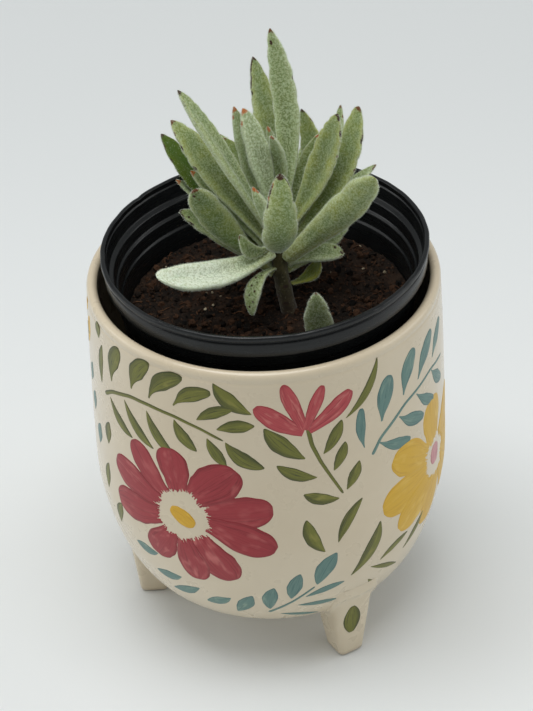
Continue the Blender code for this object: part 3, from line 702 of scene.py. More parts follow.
def make_nursery_pot():
    h = NP_H
    inner = [(0, 2.0), (nursery_inside(2.0) - 1, 2.0), (nursery_inside(2.0), 3.0), (66.5, h - 25), (67.5, h - 24), (67.9, h - 18), (69.2, h - 17), (69.6, h - 11.6), (71.9, h - 10.4), (72.3, h - 3.6), (72.9, h - 3.0), (72.7, h - 0.7), (73.0, h - 0.2)]
    outer = [(73.7, h), (74.6, h - 0.25), (75.0, h - 0.9), (75.0, h - 2.3), (74.5, h - 2.9), (73.4, h - 3.2), (73.4, h - 4.2), (74.2, h - 4.6), (73.9, h - 11.0), (73.4, h - 11.4), (70.9, h - 12.0), (70.6, h - 18.2), (69.4, h - 19.2), (69.0, h - 25.2), (68.1, h - 26.2), (52.4, 1.2), (51.2, 0.0), (0, 0)]
    profile = split_long(rounded(inner + outer, passes=2), 6.0)
    # the pressed base: a shallow ring under the floor
    pressed = (profile[:, 1] < 0.01) & (profile[:, 0] < 46)
    profile[pressed, 1] += 0.5

    def uneven(points, rows, angles):
        top = smoothstep(rows[:, 1], h - 30, h - 1)[:, None]
        lip = smoothstep(rows[:, 1], h - 5.5, h - 0.5)[:, None]
        wave = 0.22 * np.sin(2 * angles + 1.2) + 0.13 * np.sin(5 * angles) + 0.05 * np.sin(13 * angles + 0.5)
        fine = 0.05 * np.sin(29 * angles + 1.0) + 0.04 * np.sin(41 * angles)
        push = (wave * top + fine * lip - 0.2 * top)
        drop = np.zeros_like(angles)
        for at, wide, deep in ((-80.5, 1.6, 0.55), (-77.5, 1.0, 0.35), (-49.0, 1.4, 0.5), (-34.0, 1.8, 0.55), (-25.0, 1.2, 0.4), (142.0, 1.6, 0.5), (60.0, 1.2, 0.4), (-128.0, 1.1, 0.3)):
            away = (np.degrees(angles) - at + 180) % 360 - 180
            drop += deep * np.exp(-(away / wide) ** 2)
        scale = 1 + (push - 0.35 * drop * lip) / 75.0
        points[..., 0] *= scale
        points[..., 1] *= scale
        points[..., 2] -= drop * lip * 0.7 + (0.12 * np.sin(3 * angles + 0.4) + 0.10) * lip
        return points

    points, faces = lathe(profile, 256, closed=False, shift=uneven)
    pot = add_mesh("nursery_pot_shell", points, faces)
    face_out(pot)
    drills = Parts()
    for k in range(6):
        a = 2 * math.pi * k / 6
        cyl, cf = lathe([(0, -5), (4, -5), (4, 6), (0, 6)], 24, closed=False)
        drills.add(cyl + [38 * math.cos(a), 38 * math.sin(a), 0], cf)
    drill = drills.build("drain_drills", smooth=False)
    face_out(drill)
    cut = pot.modifiers.new("drain_holes", "BOOLEAN")
    cut.operation, cut.solver, cut.object = "DIFFERENCE", "EXACT", drill
    graph = bpy.context.evaluated_depsgraph_get()
    mesh = bpy.data.meshes.new_from_object(pot.evaluated_get(graph))
    pot.modifiers.clear()
    pot.data = mesh
    bpy.data.objects.remove(drill, do_unlink=True)
    mesh.transform(Matrix.Scale(1 / MM, 4))
    mesh.transform(NP_PLACE)
    mesh.transform(Matrix.Scale(MM, 4))
    mesh.shade_smooth()
    mesh.set_sharp_from_angle(angle=math.radians(40))
    return pot


def plastic_material():
    m = Material("black_plastic", roughness=0.32, specular=0.36)
    p = m.place()
    x, y, z = m.split(p)
    dust = m.noise(p, 55, 5, 0.65)
    tone = m.mix(m.band(dust, 0.45, 0.75), (0.0050, 0.0060, 0.0066, 1), (0.010, 0.0115, 0.012, 1))
    grains = m.cells(p, 520)
    tone = m.mix(m.math("MULTIPLY", m.band(grains, 0.16, 0.06), m.band(m.noise(p, 28, 2), 0.5, 0.68)), tone, (0.075, 0.055, 0.040, 1))
    m.colour(tone)
    flat = m.node("ShaderNodeMapping")
    flat.inputs["Scale"].default_value = (60, 60, 900)
    m.put(flat.inputs["Vector"], p)
    scuff = m.noise(flat.outputs[0], 1.0, 4, 0.7)
    m.rough(m.band(scuff, 0.3, 0.75, 0.21, 0.42))
    m.bump(m.math("ADD", m.math("MULTIPLY", scuff, 0.5), m.math("MULTIPLY", m.noise(p, 900, 3, 0.6), 0.5)), 0.12, 0.5)
    return m


finish_piece(make_nursery_pot(), plastic_material(), "black_plastic", "nursery_pot")


# ============================================================ the plant: stem and leaves
STEM_LINE = np.array(((13.0, -9.5, 152.0, 4.2), (11.4, -9.0, 166.0, 4.0), (8.2, -8.5, 186.0, 3.4), (7.0, -7.0, 200.0, 2.8), (7.5, -5.0, 214.0, 1.6)))


def stem_at(z):
    return np.array([np.interp(z, STEM_LINE[:, 2], STEM_LINE[:, k]) for k in (0, 1, 2, 3)])


OUTLINES = {"lance": (0.26, 0.62, 0.75), "spoon": (0.26, 0.64, 0.58), "oval": (0.26, 0.5, 0.62), "broad": (0.6, 0.42, 0.8), "paddle": (0.50, 0.62, 0.58)}
# height on the stem, heading, rise, length, bow, sway, turn, width, thickness, outline
LEAVES = {
    "leaf_01": (205.7, 89.0, 69.5, 94.2, -6.2, 6.3, -15, 12.1, 4.6, "lance"),
    "leaf_02": (203.0, 98.7, 56.8, 83.8, -6.6, 3.3, 26, 13.8, 4.2, "lance"),
    "leaf_03": (207.5, -179.0, 64.1, 86.9, 1.5, -2.4, -18, 12.5, 4.6, "lance"),
    "leaf_04": (202.2, 165.3, 55.0, 75.1, 0.8, -0.8, -22, 15.1, 4.4, "lance"),
    "leaf_05": (194.9, 151.9, 44.9, 75.7, -2.2, -0.3, -10, 13.8, 4.0, "lance"),
    "leaf_06": (215.7, 150.6, 76.9, 57.2, 1.3, 0.2, -18, 12.4, 4.6, "lance"),
    "leaf_07": (205.6, 136.8, 71.6, 64.2, -5.7, 3.1, 11, 10.8, 3.6, "lance"),
    "leaf_08": (213.9, 102.8, 77.1, 44.5, -6.4, 2.7, 40, 6.8, 3.2, "lance"),
    "leaf_09": (210.0, 47.5, 94.9, 50.8, -8.5, -4.4, 5, 7.4, 3.4, "lance"),
    "leaf_10": (198.0, 72.3, 51.0, 65.2, -7.6, 9.2, -19, 13.9, 4.0, "lance"),
    "leaf_11": (207.5, 6.8, 66.6, 65.5, -4.4, -3.4, 32, 15.1, 4.6, "lance"),
    "leaf_12": (199.8, 21.9, 59.3, 75.0, -5.8, 3.3, 18, 14.5, 4.4, "spoon"),
    "leaf_13": (205.0, 48.4, 48.0, 65.5, -4.4, 5.6, -15, 10.0, 3.6, "lance"),
    "leaf_14": (196.3, 29.8, 32.0, 58.4, 1.9, -0.3, -13, 9.5, 3.6, "lance"),
    "leaf_15": (197.0, -23.1, 50.0, 67.1, -2.4, -4.8, -82, 15.4, 6.0, "paddle"),
    "leaf_16": (203.6, -84.1, 71.8, 51.7, -13.6, 1.2, 13, 16.4, 6.0, "oval"),
    "leaf_17": (200.9, -148.1, 9.9, 61.0, -6.0, -0.0, -23, 15.2, 6.0, "paddle"),
    "leaf_18": (190.4, -164.0, 56.5, 61.8, -3.5, 6.4, 67, 15.0, 6.0, "spoon"),
    "leaf_19": (192.4, 161.1, 41.5, 58.4, -3.5, 7.2, 2, 8.9, 3.6, "lance"),
    "leaf_20": (198.3, 161.7, 47.0, 52.8, -0.3, 1.0, -3, 9.9, 3.8, "lance"),
    "leaf_21": (187.6, 168.6, 37.0, 51.9, -1.6, 5.6, -12, 12.5, 4.0, "lance"),
    "leaf_22": (204.0, -150.0, 33.0, 20.0, -5.0, -1.0, -70, 7.0, 2.8, "spoon"),
    "leaf_23": (193.3, -123.7, -33.0, 24.7, 6.8, 1.4, 0, 7.6, 3.4, "spoon"),
    "leaf_24": (192.6, 17.6, -1.1, 27.0, 2.4, 0.7, 15, 10.6, 4.0, "spoon"),
    "leaf_25": (182.4, 8.8, 36.2, 16.6, -4.9, -3.8, 21, 8.0, 3.4, "lance"),
    "leaf_26": (207.2, -131.4, 70.0, 36.3, -2.7, -4.9, 6, 8.1, 3.4, "lance"),
    "leaf_27": (200.7, 122.1, 44.4, 54.8, -4.2, 6.2, 5, 14.0, 4.0, "lance"),
    "leaf_28": (202.0, 50.3, 55.7, 52.2, -4.8, -4.2, 14, 8.9, 3.4, "lance"),
    "leaf_29": (197.7, 116.0, 32.5, 63.9, -3.1, 0.9, -8, 14.0, 4.2, "lance"),
    "leaf_30": (194.8, 71.5, 29.5, 63.4, -1.3, -0.1, 4, 14.0, 4.2, "lance"),
    "leaf_31": (188.9, 94.7, 14.0, 46.2, -2.3, -0.0, 17, 12.0, 4.0, "lance"),
    "leaf_32": (187.8, 43.5, 11.5, 41.3, -1.6, -0.0, 15, 11.0, 3.8, "lance"),
}
# How each leaf looks: green share, yellow share, white felt share (0 to 1), notches per edge, channel depth,
# tip colour (0 none, 1 orange, 2 brown, 3 dark), then its marks: (s, degrees round the section, radius mm, kind).
LOOKS = {
    "leaf_01": (0.35, 0.15, 0.72, 5, 0.30, 2, ((0.93, 112, 1.1, 3), (0.76, 20, 1.0, 3), (0.88, 160, 0.7, 2))),
    "leaf_02": (0.60, 0.62, 0.48, 6, 0.25, 3, ((0.97, 150, 1.8, 3), (0.93, 170, 1.3, 3), (0.87, 176, 1.1, 3), (0.81, 176, 1.0, 3), (0.95, 20, 1.2, 3))),
    "leaf_03": (0.52, 0.35, 0.58, 7, 0.30, 3, ((0.93, 20, 0.8, 1), (0.82, 18, 0.9, 1), (0.70, 16, 0.8, 2))),
    "leaf_04": (0.42, 0.80, 0.52, 5, 0.35, 2, ((0.93, 150, 1.0, 2), (0.84, 165, 1.2, 3), (0.70, 172, 1.3, 3))),
    "leaf_05": (1.0, 0.12, 0.0, 6, 0.30, 3, ((0.93, 165, 1.0, 3), (0.84, 172, 0.9, 3))),
    "leaf_06": (0.26, 0.05, 0.92, 2, 0.12, 1, ((0.90, 172, 1.0, 1),)),
    "leaf_07": (0.45, 0.20, 0.70, 3, 0.20, 1, ((0.93, 172, 1.0, 1), (0.93, 8, 0.9, 1))),
    "leaf_08": (0.40, 0.35, 0.75, 1, 0.20, 1, ((0.95, 90, 1.2, 1),)),
    "leaf_09": (0.35, 0.35, 0.85, 1, 0.20, 1, ((0.96, 60, 0.8, 1),)),
    "leaf_10": (0.32, 0.70, 0.40, 6, 0.25, 3, ((0.93, 15, 1.0, 2), (0.82, 8, 0.8, 2))),
    "leaf_11": (0.50, 0.85, 0.42, 6, 0.45, 3, ((0.97, 40, 1.2, 3), (0.88, 16, 1.3, 3), (0.72, 12, 0.8, 2))),
    "leaf_12": (0.52, 0.75, 0.44, 6, 0.35, 2, ((0.84, 15, 1.4, 3), (0.66, 10, 0.8, 2), (0.95, 150, 0.9, 2))),
    "leaf_13": (0.50, 0.20, 0.50, 2, 0.20, 2, ((0.93, 30, 0.7, 2),)),
    "leaf_14": (0.45, 0.30, 0.65, 2, 0.20, 2, ((0.96, 22, 1.0, 2),)),
    "leaf_15": (0.46, 0.80, 0.60, 2, 0.10, 0, ((0.97, 200, 0.5, 2),)),
    "leaf_16": (0.62, 0.35, 0.42, 3, 0.10, 3, ((0.99, 270, 2.3, 3), (0.955, 205, 1.3, 3), (0.92, 190, 1.2, 3), (0.86, 188, 1.1, 3), (0.80, 186, 1.0, 3), (0.93, 345, 1.1, 1), (0.86, 352, 0.8, 1))),
    "leaf_17": (0.20, 0.60, 1.18, 1, 0.55, 0, ()),
    "leaf_18": (0.80, 0.55, 0.38, 2, 0.20, 2, ((0.95, 285, 1.0, 3), (0.9, 265, 0.6, 2))),
    "leaf_19": (0.45, 0.40, 0.70, 1, 0.20, 1, ((0.97, 158, 0.8, 1),)),
    "leaf_20": (0.50, 0.30, 0.65, 1, 0.20, 1, ((0.97, 150, 0.8, 1),)),
    "leaf_21": (0.55, 0.35, 0.45, 3, 0.25, 3, ((0.96, 150, 1.3, 3), (0.9, 120, 0.9, 3), (0.84, 170, 0.8, 2))),
    "leaf_22": (0.45, 0.20, 0.55, 0, 0.10, 2, tuple((0.30 + 0.08 * k, 225 + (40 * k) % 90, 0.60 + 0.12 * (k % 3), 3) for k in range(8))),
    "leaf_23": (0.50, 0.25, 0.60, 0, 0.15, 0, tuple((0.22 + 0.085 * k, 62 + (37 * k) % 70, 0.55 + 0.12 * (k % 3), 3) for k in range(9))),
    "leaf_24": (0.45, 0.30, 0.70, 0, 0.20, 2, ((0.94, 60, 1.3, 3), (0.86, 110, 1.0, 3), (0.90, 20, 1.0, 2))),
    "leaf_25": (0.55, 1.00, 0.12, 0, 0.15, 0, ()),
    "leaf_26": (0.40, 0.25, 0.80, 1, 0.15, 1, ((0.96, 210, 0.9, 1),)),
    "leaf_27": (0.60, 0.60, 0.28, 3, 0.20, 2, ((0.93, 160, 0.8, 2),)),
    "leaf_28": (0.60, 0.35, 0.55, 2, 0.20, 1, ((0.95, 60, 0.7, 1),)),
    "leaf_29": (0.60, 0.30, 0.55, 4, 0.25, 2, ((0.9, 165, 0.9, 2), (0.82, 12, 0.9, 3))),
    "leaf_30": (0.60, 0.30, 0.55, 4, 0.25, 2, ((0.9, 165, 0.9, 2), (0.82, 12, 0.9, 3))),
    "leaf_31": (0.55, 0.30, 0.60, 3, 0.25, 2, ((0.92, 150, 0.9, 2),)),
    "leaf_32": (0.55, 0.35, 0.60, 3, 0.25, 1, ((0.92, 30, 0.9, 1),)),
    "fallen_leaf": (0.40, 0.30, 0.75, 2, 0.15, 2, ((0.9, 200, 0.7, 2), (0.8, 250, 0.6, 3))),
}


# Leaves with a thin dark line along the margin towards the tip.
RIMS = {"leaf_02": 1.0, "leaf_16": 0.95, "leaf_05": 0.6, "leaf_04": 0.45, "leaf_21": 0.9, "leaf_12": 0.55, "leaf_11": 0.45, "leaf_03": 0.5, "leaf_10": 0.4, "leaf_29": 0.5, "leaf_30": 0.5, "leaf_31": 0.5}


class LeafLaw:
    """The same leaf as in the part, as a function of s (0 base to 1 tip) and the angle round its section."""

    def __init__(self, name):
        self.name = name
        if name == "fallen_leaf":
            self.base, tip = np.array((24.5, -26.5, 160.0)), np.array((23.0, -28.5, 191.0))
            self.along = tip - self.base
            self.length = float(np.linalg.norm(self.along))
            self.along /= self.length
            self.side = np.cross(self.along, (0, -1, 0))
            self.side /= np.linalg.norm(self.side)
            self.up = np.cross(self.side, self.along)
            self.bow = self.sway = turn = 0.0
            self.width, self.thick, self.kind = 12.5, 4.0, "broad"
        else:
            height, heading, rise, self.length, self.bow, self.sway, turn, self.width, self.thick, self.kind = LEAVES[name]
            a, e = math.radians(heading), math.radians(rise)
            self.along = np.array((math.cos(a) * math.cos(e), math.sin(a) * math.cos(e), math.sin(e)))
            self.up = np.array((-math.cos(a) * math.sin(e), -math.sin(a) * math.sin(e), math.cos(e)))
            self.side = np.cross(self.along, self.up)
            x, y, z, r = stem_at(height)
            self.base = np.array((x, y, z)) + (r + 0.75) * np.array((math.cos(a), math.sin(a), 0))
        t = math.radians(turn)
        self.flat = self.side * math.cos(t) - self.up * math.sin(t)
        self.face = self.up * math.cos(t) + self.side * math.sin(t)
        self.green, self.yellow, self.felt, self.notches, self.channel, self.tip, self.marks = LOOKS[name]
        self.rim = RIMS.get(name, 0.0)
        self.seed = float(sum(ord(c) * (i + 3) for i, c in enumerate(name)) % 97)

    def half_width(self, s):
        base, widest, sharp = OUTLINES[self.kind]
        rise = base + (1 - base) * smoothstep(s, 0, widest)
        fall = np.clip(1 - np.clip((s - widest) / (1 - widest), 0, 1) ** 2.4, 0, 1) ** sharp
        return self.width / 2 * np.where(s < widest, rise, fall)

    def half_thick(self, s):
        return self.thick / 2 * np.where(s < 0.5, 0.62 + 0.76 * s, np.clip(1 - np.clip((s - 0.5) / 0.5, 0, 1) ** 3, 0, 1) ** 0.6)

    def points(self, s, phi, lift=0.0):
        s, phi = np.broadcast_arrays(np.asarray(s, float), np.asarray(phi, float))
        c, n = np.cos(phi), np.sin(phi)
        w, t = self.half_width(s), self.half_thick(s)
        # notches: the felted edge is cut into blunt teeth towards the tip
        teeth = 0.0
        if self.notches:
            bent = s + 0.018 * np.sin(s * 17 + self.seed + 1.3 * np.sign(c))
            wave = np.abs(np.sin(math.pi * (bent - 0.42) / 0.58 * self.notches + (0.6 if self.seed % 2 else 0.0) * np.sign(c)))
            teeth = -0.15 * (1 - wave ** 0.6) * smoothstep(s, 0.45, 0.62) * np.abs(c) ** 3
        w = w * (1 + teeth)
        # squarer section edges than a plain ellipse, with a channel on the upper face
        n2 = np.sign(n) * np.abs(n) ** 0.86
        fall = self.channel * np.clip(n, 0, 1) * np.exp(-(c / 0.42) ** 2) * smoothstep(s, 0.0, 0.12) * (1 - smoothstep(s, 0.78, 0.97))
        keel = 0.10 * np.clip(-n, 0, 1) * np.exp(-(c / 0.3) ** 2) * (1 - smoothstep(s, 0.6, 0.95))
        q = self.seed
        lumps = 0.035 * np.sin(s * 11 + q) * np.sin(phi * 2 + q * 2) + 0.03 * np.sin(s * 23 + q * 3 + phi)
        hump = 4 * s * (1 - s)
        wander = 0.35 * np.sin(s * 7 + q) * np.sin(s * math.pi)
        mid = self.base + self.along * (s * self.length)[..., None] + self.up * (hump * self.bow)[..., None] + self.side * (hump * self.sway + wander * 0.5)[..., None]
        rise = 0.16 * w * c * c
        a = w * c * (1 + lumps * 0.5)
        b = t * (n2 * (1 - fall * 1.25 + lumps) - keel) + rise
        out = mid + self.flat * a[..., None] + self.face * b[..., None]
        if np.ndim(lift) or lift:
            normal = self.flat * (c / np.maximum(w, 0.3))[..., None] + self.face * (n / np.maximum(t, 0.3))[..., None]
            normal /= np.linalg.norm(normal, axis=-1, keepdims=True)
            out = out + normal * np.asarray(lift)[..., None]
        return out


RINGS, SIDES = 66, 48


def make_leaf(law):
    polar = np.linspace(0, math.pi, RINGS + 2)[1:-1]
    s = (1 - np.cos(polar)) / 2
    s = 0.75 * s + 0.25 * np.linspace(s[0], s[-1], RINGS)
    phi = np.linspace(0, 2 * math.pi, SIDES, endpoint=False)
    points = law.points(s[:, None], phi[None, :]).reshape(-1, 3)
    ends = np.array([law.points(0.0, 0.0), law.points(1.0, 0.0)])
    ends[0] = law.base
    ends[1] = law.base + law.along * law.length
    points = np.vstack([points, ends])
    faces = []
    for i in range(RINGS - 1):
        for k in range(SIDES):
            m = (k + 1) % SIDES
            faces.append((i * SIDES + k, i * SIDES + m, (i + 1) * SIDES + m, (i + 1) * SIDES + k))
    a, b = RINGS * SIDES, RINGS * SIDES + 1
    for k in range(SIDES):
        m = (k + 1) % SIDES
        faces.append((a, m, k))
        faces.append((b, (RINGS - 1) * SIDES + k, (RINGS - 1) * SIDES + m))
    ss = np.concatenate([np.repeat(s, SIDES), [0, 1]])
    pp = np.concatenate([np.tile(phi, RINGS), [0, 0]])
    edge = np.abs(np.cos(pp))
    marks = np.zeros((len(ss), 3))  # orange, brown, dark
    tip = smoothstep(ss, 0.935, 0.98) if law.tip == 1 else smoothstep(ss, 0.955, 0.995)
    if law.tip:
        marks[:, law.tip - 1] = tip * 0.9
    for ms, deg, radius, kind in law.marks:
        centre = law.points(ms, math.radians(deg))
        near = np.linalg.norm(points - centre, axis=1)
        turned = math.cos(math.radians(deg))
        if abs(turned) > 0.8:
            beside = law.half_width(ss) * (1 - np.cos(pp) * math.copysign(1.0, turned))
            near = np.hypot((ss - ms) * law.length / 1.35, beside * 2.3)
        marks[:, kind - 1] = np.maximum(marks[:, kind - 1], 1 - smoothstep(near, radius * 0.35, radius * 1.25))
    if law.rim:
        near_edge = law.half_width(ss) * (1 - np.abs(np.cos(pp)))
        line = (1 - smoothstep(near_edge, 0.12, 0.62)) * smoothstep(ss, 0.70, 0.86) * (0.72 + 0.28 * np.sin(ss * 61 + law.seed + 2 * np.sign(np.cos(pp))))
        marks[:, 2] = np.maximum(marks[:, 2], law.rim * line)
    tone = np.stack([np.full(len(ss), law.green), np.full(len(ss), law.yellow), np.full(len(ss), law.felt)], 1)
    where = np.stack([ss, edge ** 4, np.clip(np.sin(pp), -1, 1)], 1)
    obj = add_mesh(law.name + "_blade", points, faces, {"marks": marks, "tone": tone, "where": where})
    face_out(obj)
    return obj


def make_felt(law, count):
    """Short stiff hairs: closed spikes rooted in the skin, denser along the edges."""
    local = np.random.default_rng(int(law.seed) + 5)
    s = local.random(count) ** 0.9 * 0.985 + 0.01
    phi = local.random(count) * 2 * math.pi
    third = int(count * 0.58)
    phi[:third] = np.where(local.random(third) < 0.5, 0, math.pi) + local.normal(0, 0.27, third)
    root = law.points(s, phi, -0.08)
    tip0 = law.points(s, phi, 0.5)
    out = tip0 - root
    out /= np.linalg.norm(out, axis=1, keepdims=True)
    lean = local.normal(0, 0.45, (count, 3)) + law.along * 0.35
    way = out + lean
    way /= np.linalg.norm(way, axis=1, keepdims=True)
    long = (0.30 + 0.42 * local.random(count)) * np.where(np.arange(count) < third, 1.25, 1.0)
    tip = root + way * (long + 0.08)[:, None]
    thick = 0.042 + 0.022 * local.random(count)
    u = np.cross(way, local.normal(0, 1, (count, 3)))
    u /= np.linalg.norm(u, axis=1, keepdims=True)
    v = np.cross(way, u)
    ring = [root + (u * math.cos(a) + v * math.sin(a)) * thick[:, None] for a in (0, 2.094, 4.189)]
    points = np.stack([*ring, tip], 1).reshape(-1, 3)
    base = np.arange(count) * 4
    faces = np.concatenate([np.stack(c, 1) for c in ((base, base + 1, base + 3), (base + 1, base + 2, base + 3), (base + 2, base, base + 3), (base, base + 2, base + 1))])
    return points, [tuple(f) for f in faces.tolist()]


def leaf_material():
    m = Material("leaf_felt", roughness=0.78, specular=0.25, Sheen_Weight=0.62, Sheen_Roughness=0.35, Sheen_Tint=(0.93, 0.97, 0.9, 1.0), Subsurface_Weight=0.06, Subsurface_Scale=0.002)
    p = m.place()
    green, yellow, felt = m.split(m.attr("tone", "Vector"))
    s, edge, face = m.split(m.attr("where", "Vector"))
    orange, brown, dark = m.split(m.attr("marks", "Vector"))
    cloud = m.noise(p, 130, 3, 0.55)
    skin = m.mix(green, linear(134, 151, 88), linear(62, 90, 13))
    skin = m.mix(m.math("MULTIPLY", yellow, m.band(m.math("ADD", m.math("MULTIPLY", edge, 0.50), m.math("MULTIPLY", cloud, 0.9)), 0.28, 0.85)), skin, linear(160, 162, 46))
    skin = m.mix(m.band(s, 0.30, 0.02, 0, 0.6), skin, linear(146, 142, 62))
    # white felt: a fine speckle over a soft bloom, whiter along the edges, partly real felt and partly painted sheen
    # for the fuzz halo
    speckle = m.noise(p, 1450, 2, 0.6)
    tufts = m.noise(p, 800, 3, 0.6)
    cover = m.math("ADD", m.math("MULTIPLY", speckle, 0.55), m.math("MULTIPLY", tufts, 0.45))
    hair = m.band(cover, 0.43, 0.59)
    # painted shade: the middle of the upper face, where the channel runs, is painted darker green as if shaded
    painted_channel_shade = m.math("MULTIPLY", m.band(face, 0.80, 0.99), m.band(s, 0.85, 0.55))
    skin = m.mix(m.math("MULTIPLY", painted_channel_shade, 0.42), skin, linear(66, 82, 22))
    # partly painted sheen: the whitening along the edges stands in for the light the fuzz catches there, over the
    # felt's own bloom
    felt_bloom_and_edge_sheen = m.math("MULTIPLY", felt, m.math("ADD", 0.14, m.math("MULTIPLY", edge, 0.62)))
    amount = m.math("ADD", m.math("MULTIPLY", hair, m.math("ADD", m.math("MULTIPLY", felt, 0.56), 0.04)), felt_bloom_and_edge_sheen, clamp=True)
    skin = m.mix(amount, skin, linear(212, 224, 186))
    # the most felted leaves are almost white above
    snow = m.math("MULTIPLY", m.math("MULTIPLY", m.band(felt, 0.85, 1.15), m.band(face, -0.25, 0.6)), m.band(s, 0.08, 0.55))
    skin = m.mix(m.math("MULTIPLY", snow, m.band(cover, 0.34, 0.60, 0.30, 0.88)), skin, linear(238, 246, 228))
    # marks, with ragged rims
    rag = m.math("MULTIPLY", m.math("SUBTRACT", m.noise(p, 900, 3, 0.6), 0.5), 0.9)
    def mask(value, low, high):
        return m.band(m.math("ADD", value, m.math("MULTIPLY", rag, m.band(value, 0.02, 0.3))), low, high)
    skin = m.mix(mask(orange, 0.35, 0.75), skin, linear(178, 102, 46))
    skin = m.mix(mask(brown, 0.35, 0.75), skin, linear(104, 62, 34))
    skin = m.mix(mask(dark, 0.35, 0.75), skin, linear(62, 38, 24))
    m.colour(skin)
    m.bump(m.math("ADD", m.math("MULTIPLY", cover, 0.8), m.math("MULTIPLY", cloud, 0.5)), 0.35, 0.8)
    return m


def felt_material():
    m = Material("white_hairs", roughness=0.7, specular=0.3, Sheen_Weight=0.3)
    tone = m.noise(m.place(), 700, 2)
    m.colour(m.mix(m.band(tone, 0.3, 0.7), linear(196, 206, 182), linear(232, 236, 222)))
    return m


def stem_material():
    m = Material("stem_skin", roughness=0.82, specular=0.25, Sheen_Weight=0.25)
    p = m.place()
    patch = m.noise(p, 210, 4, 0.65)
    # painted shade: both stem colours are darkened as if the stem stood in the leaves' shade
    tone = m.mix(m.band(patch, 0.35, 0.65), linear(54, 50, 24), linear(84, 78, 44))
    _, _, z = m.split(p)
    # darker and browner towards the bottom
    tone = m.mix(m.band(m.math("ADD", z, m.math("MULTIPLY", patch, 0.012)), 0.196, 0.170), tone, linear(60, 44, 30))
    tone = m.mix(m.band(m.noise(p, 900, 3), 0.56, 0.72, 0, 0.6), tone, linear(140, 136, 108))
    tone = m.mix(m.band(m.attr("scar"), 0.3, 0.8), tone, linear(62, 44, 32))
    m.colour(tone)
    m.bump(m.math("ADD", patch, m.math("MULTIPLY", m.noise(p, 1100, 2), 0.4)), 0.4, 0.8)
    return m


FELTED, HAIRS = leaf_material(), felt_material()
for leaf_name in list(LEAVES) + ["fallen_leaf"]:
    law = LeafLaw(leaf_name)
    blade = make_leaf(law)
    finish_piece(blade, FELTED, "leaf_felt", leaf_name)
    count = int(min(4600, 400 + law.length * law.width * 3.6 * (0.5 + law.felt)))
    points, faces = make_felt(law, count)
    hairs = add_mesh(leaf_name + "_hairs", points, faces, smooth=False)
    finish_piece(hairs, HAIRS, "leaf_felt")


def make_stem():
    rows, sides = 90, 40
    z = np.linspace(152.0, 214.0, rows)
    phi = np.linspace(0, 2 * math.pi, sides, endpoint=False)
    line = np.array([stem_at(v) for v in z])
    for _ in range(10):
        line[1:-1] = (line[:-2] + 2 * line[1:-1] + line[2:]) / 4
    radius = line[:, 3].copy()
    s = (z - 152) / 62
    blunt = np.clip(3.2 * np.minimum(s, 1 - s) / 0.14, 0, 1) ** 0.5
    radius = radius * np.maximum(blunt, 0.4)
    grow, scar = np.zeros((rows, sides)), np.zeros((rows, sides))
    for name, row in LEAVES.items():
        away = (phi - math.radians(row[1]) + math.pi) % (2 * math.pi) - math.pi
        near = np.exp(-((z[:, None] - row[0]) / 2.0) ** 2 - (away[None, :] / 0.6) ** 2)
        grow += 0.42 * near
    for at, deg in ((183.5, -70), (180.0, 35), (178.0, -150), (185.0, -20), (174.5, -95), (172.0, 80), (181.5, 150)):
        away = (phi - math.radians(deg) + math.pi) % (2 * math.pi) - math.pi
        d = np.sqrt(((z[:, None] - at) / 1.1) ** 2 + (away[None, :] * 3.4 / 1.5) ** 2)
        scar = np.maximum(scar, 1 - smoothstep(d, 0.55, 1.2))
        grow += 0.28 * np.exp(-((d - 1.1) / 0.4) ** 2) - 0.12 * np.exp(-(d / 0.7) ** 2)
    grow += 0.07 * np.sin(phi[None, :] * 5 + z[:, None] * 0.3) + 0.05 * np.sin(z[:, None] * 1.7 + phi[None, :] * 2)
    r = radius[:, None] + np.minimum(grow, 0.6)
    points = np.stack([line[:, 0:1] + r * np.cos(phi), line[:, 1:2] + r * np.sin(phi), np.repeat(z[:, None], sides, 1)], -1).reshape(-1, 3)
    points = np.vstack([points, [*line[0, :2], 152.0], [*line[-1, :2], 214.0]])
    faces = []
    for i in range(rows - 1):
        for k in range(sides):
            m = (k + 1) % sides
            faces.append((i * sides + k, i * sides + m, (i + 1) * sides + m, (i + 1) * sides + k))
    a, b = rows * sides, rows * sides + 1
    for k in range(sides):
        m = (k + 1) % sides
        faces += [(a, m, k), (b, (rows - 1) * sides + k, (rows - 1) * sides + m)]
    obj = add_mesh("stem_bark", points, faces, {"scar": np.concatenate([scar.ravel(), [0, 0]])})
    face_out(obj)
    return obj


finish_piece(make_stem(), stem_material(), "stem", "stem")


# ============================================================ the soil
SOIL_TOP = NP_H - 34.5


def soil_height(x, y):
    r = math.hypot(x, y)
    n = noise.noise
    rise = 2.4 * (1 - min(r / 65.0, 1.0) ** 2)
    big = n(Vector((x * 0.09, y * 0.09, 3.7)))
    mid = n(Vector((x * 0.26, y * 0.26, 9.1)))
    small = n(Vector((x * 0.75, y * 0.75, 5.3)))
    tiny = n(Vector((x * 1.9, y * 1.9, 1.3)))
    return SOIL_TOP + rise + 1.1 * big + 1.1 * mid + 0.8 * small + 0.4 * tiny


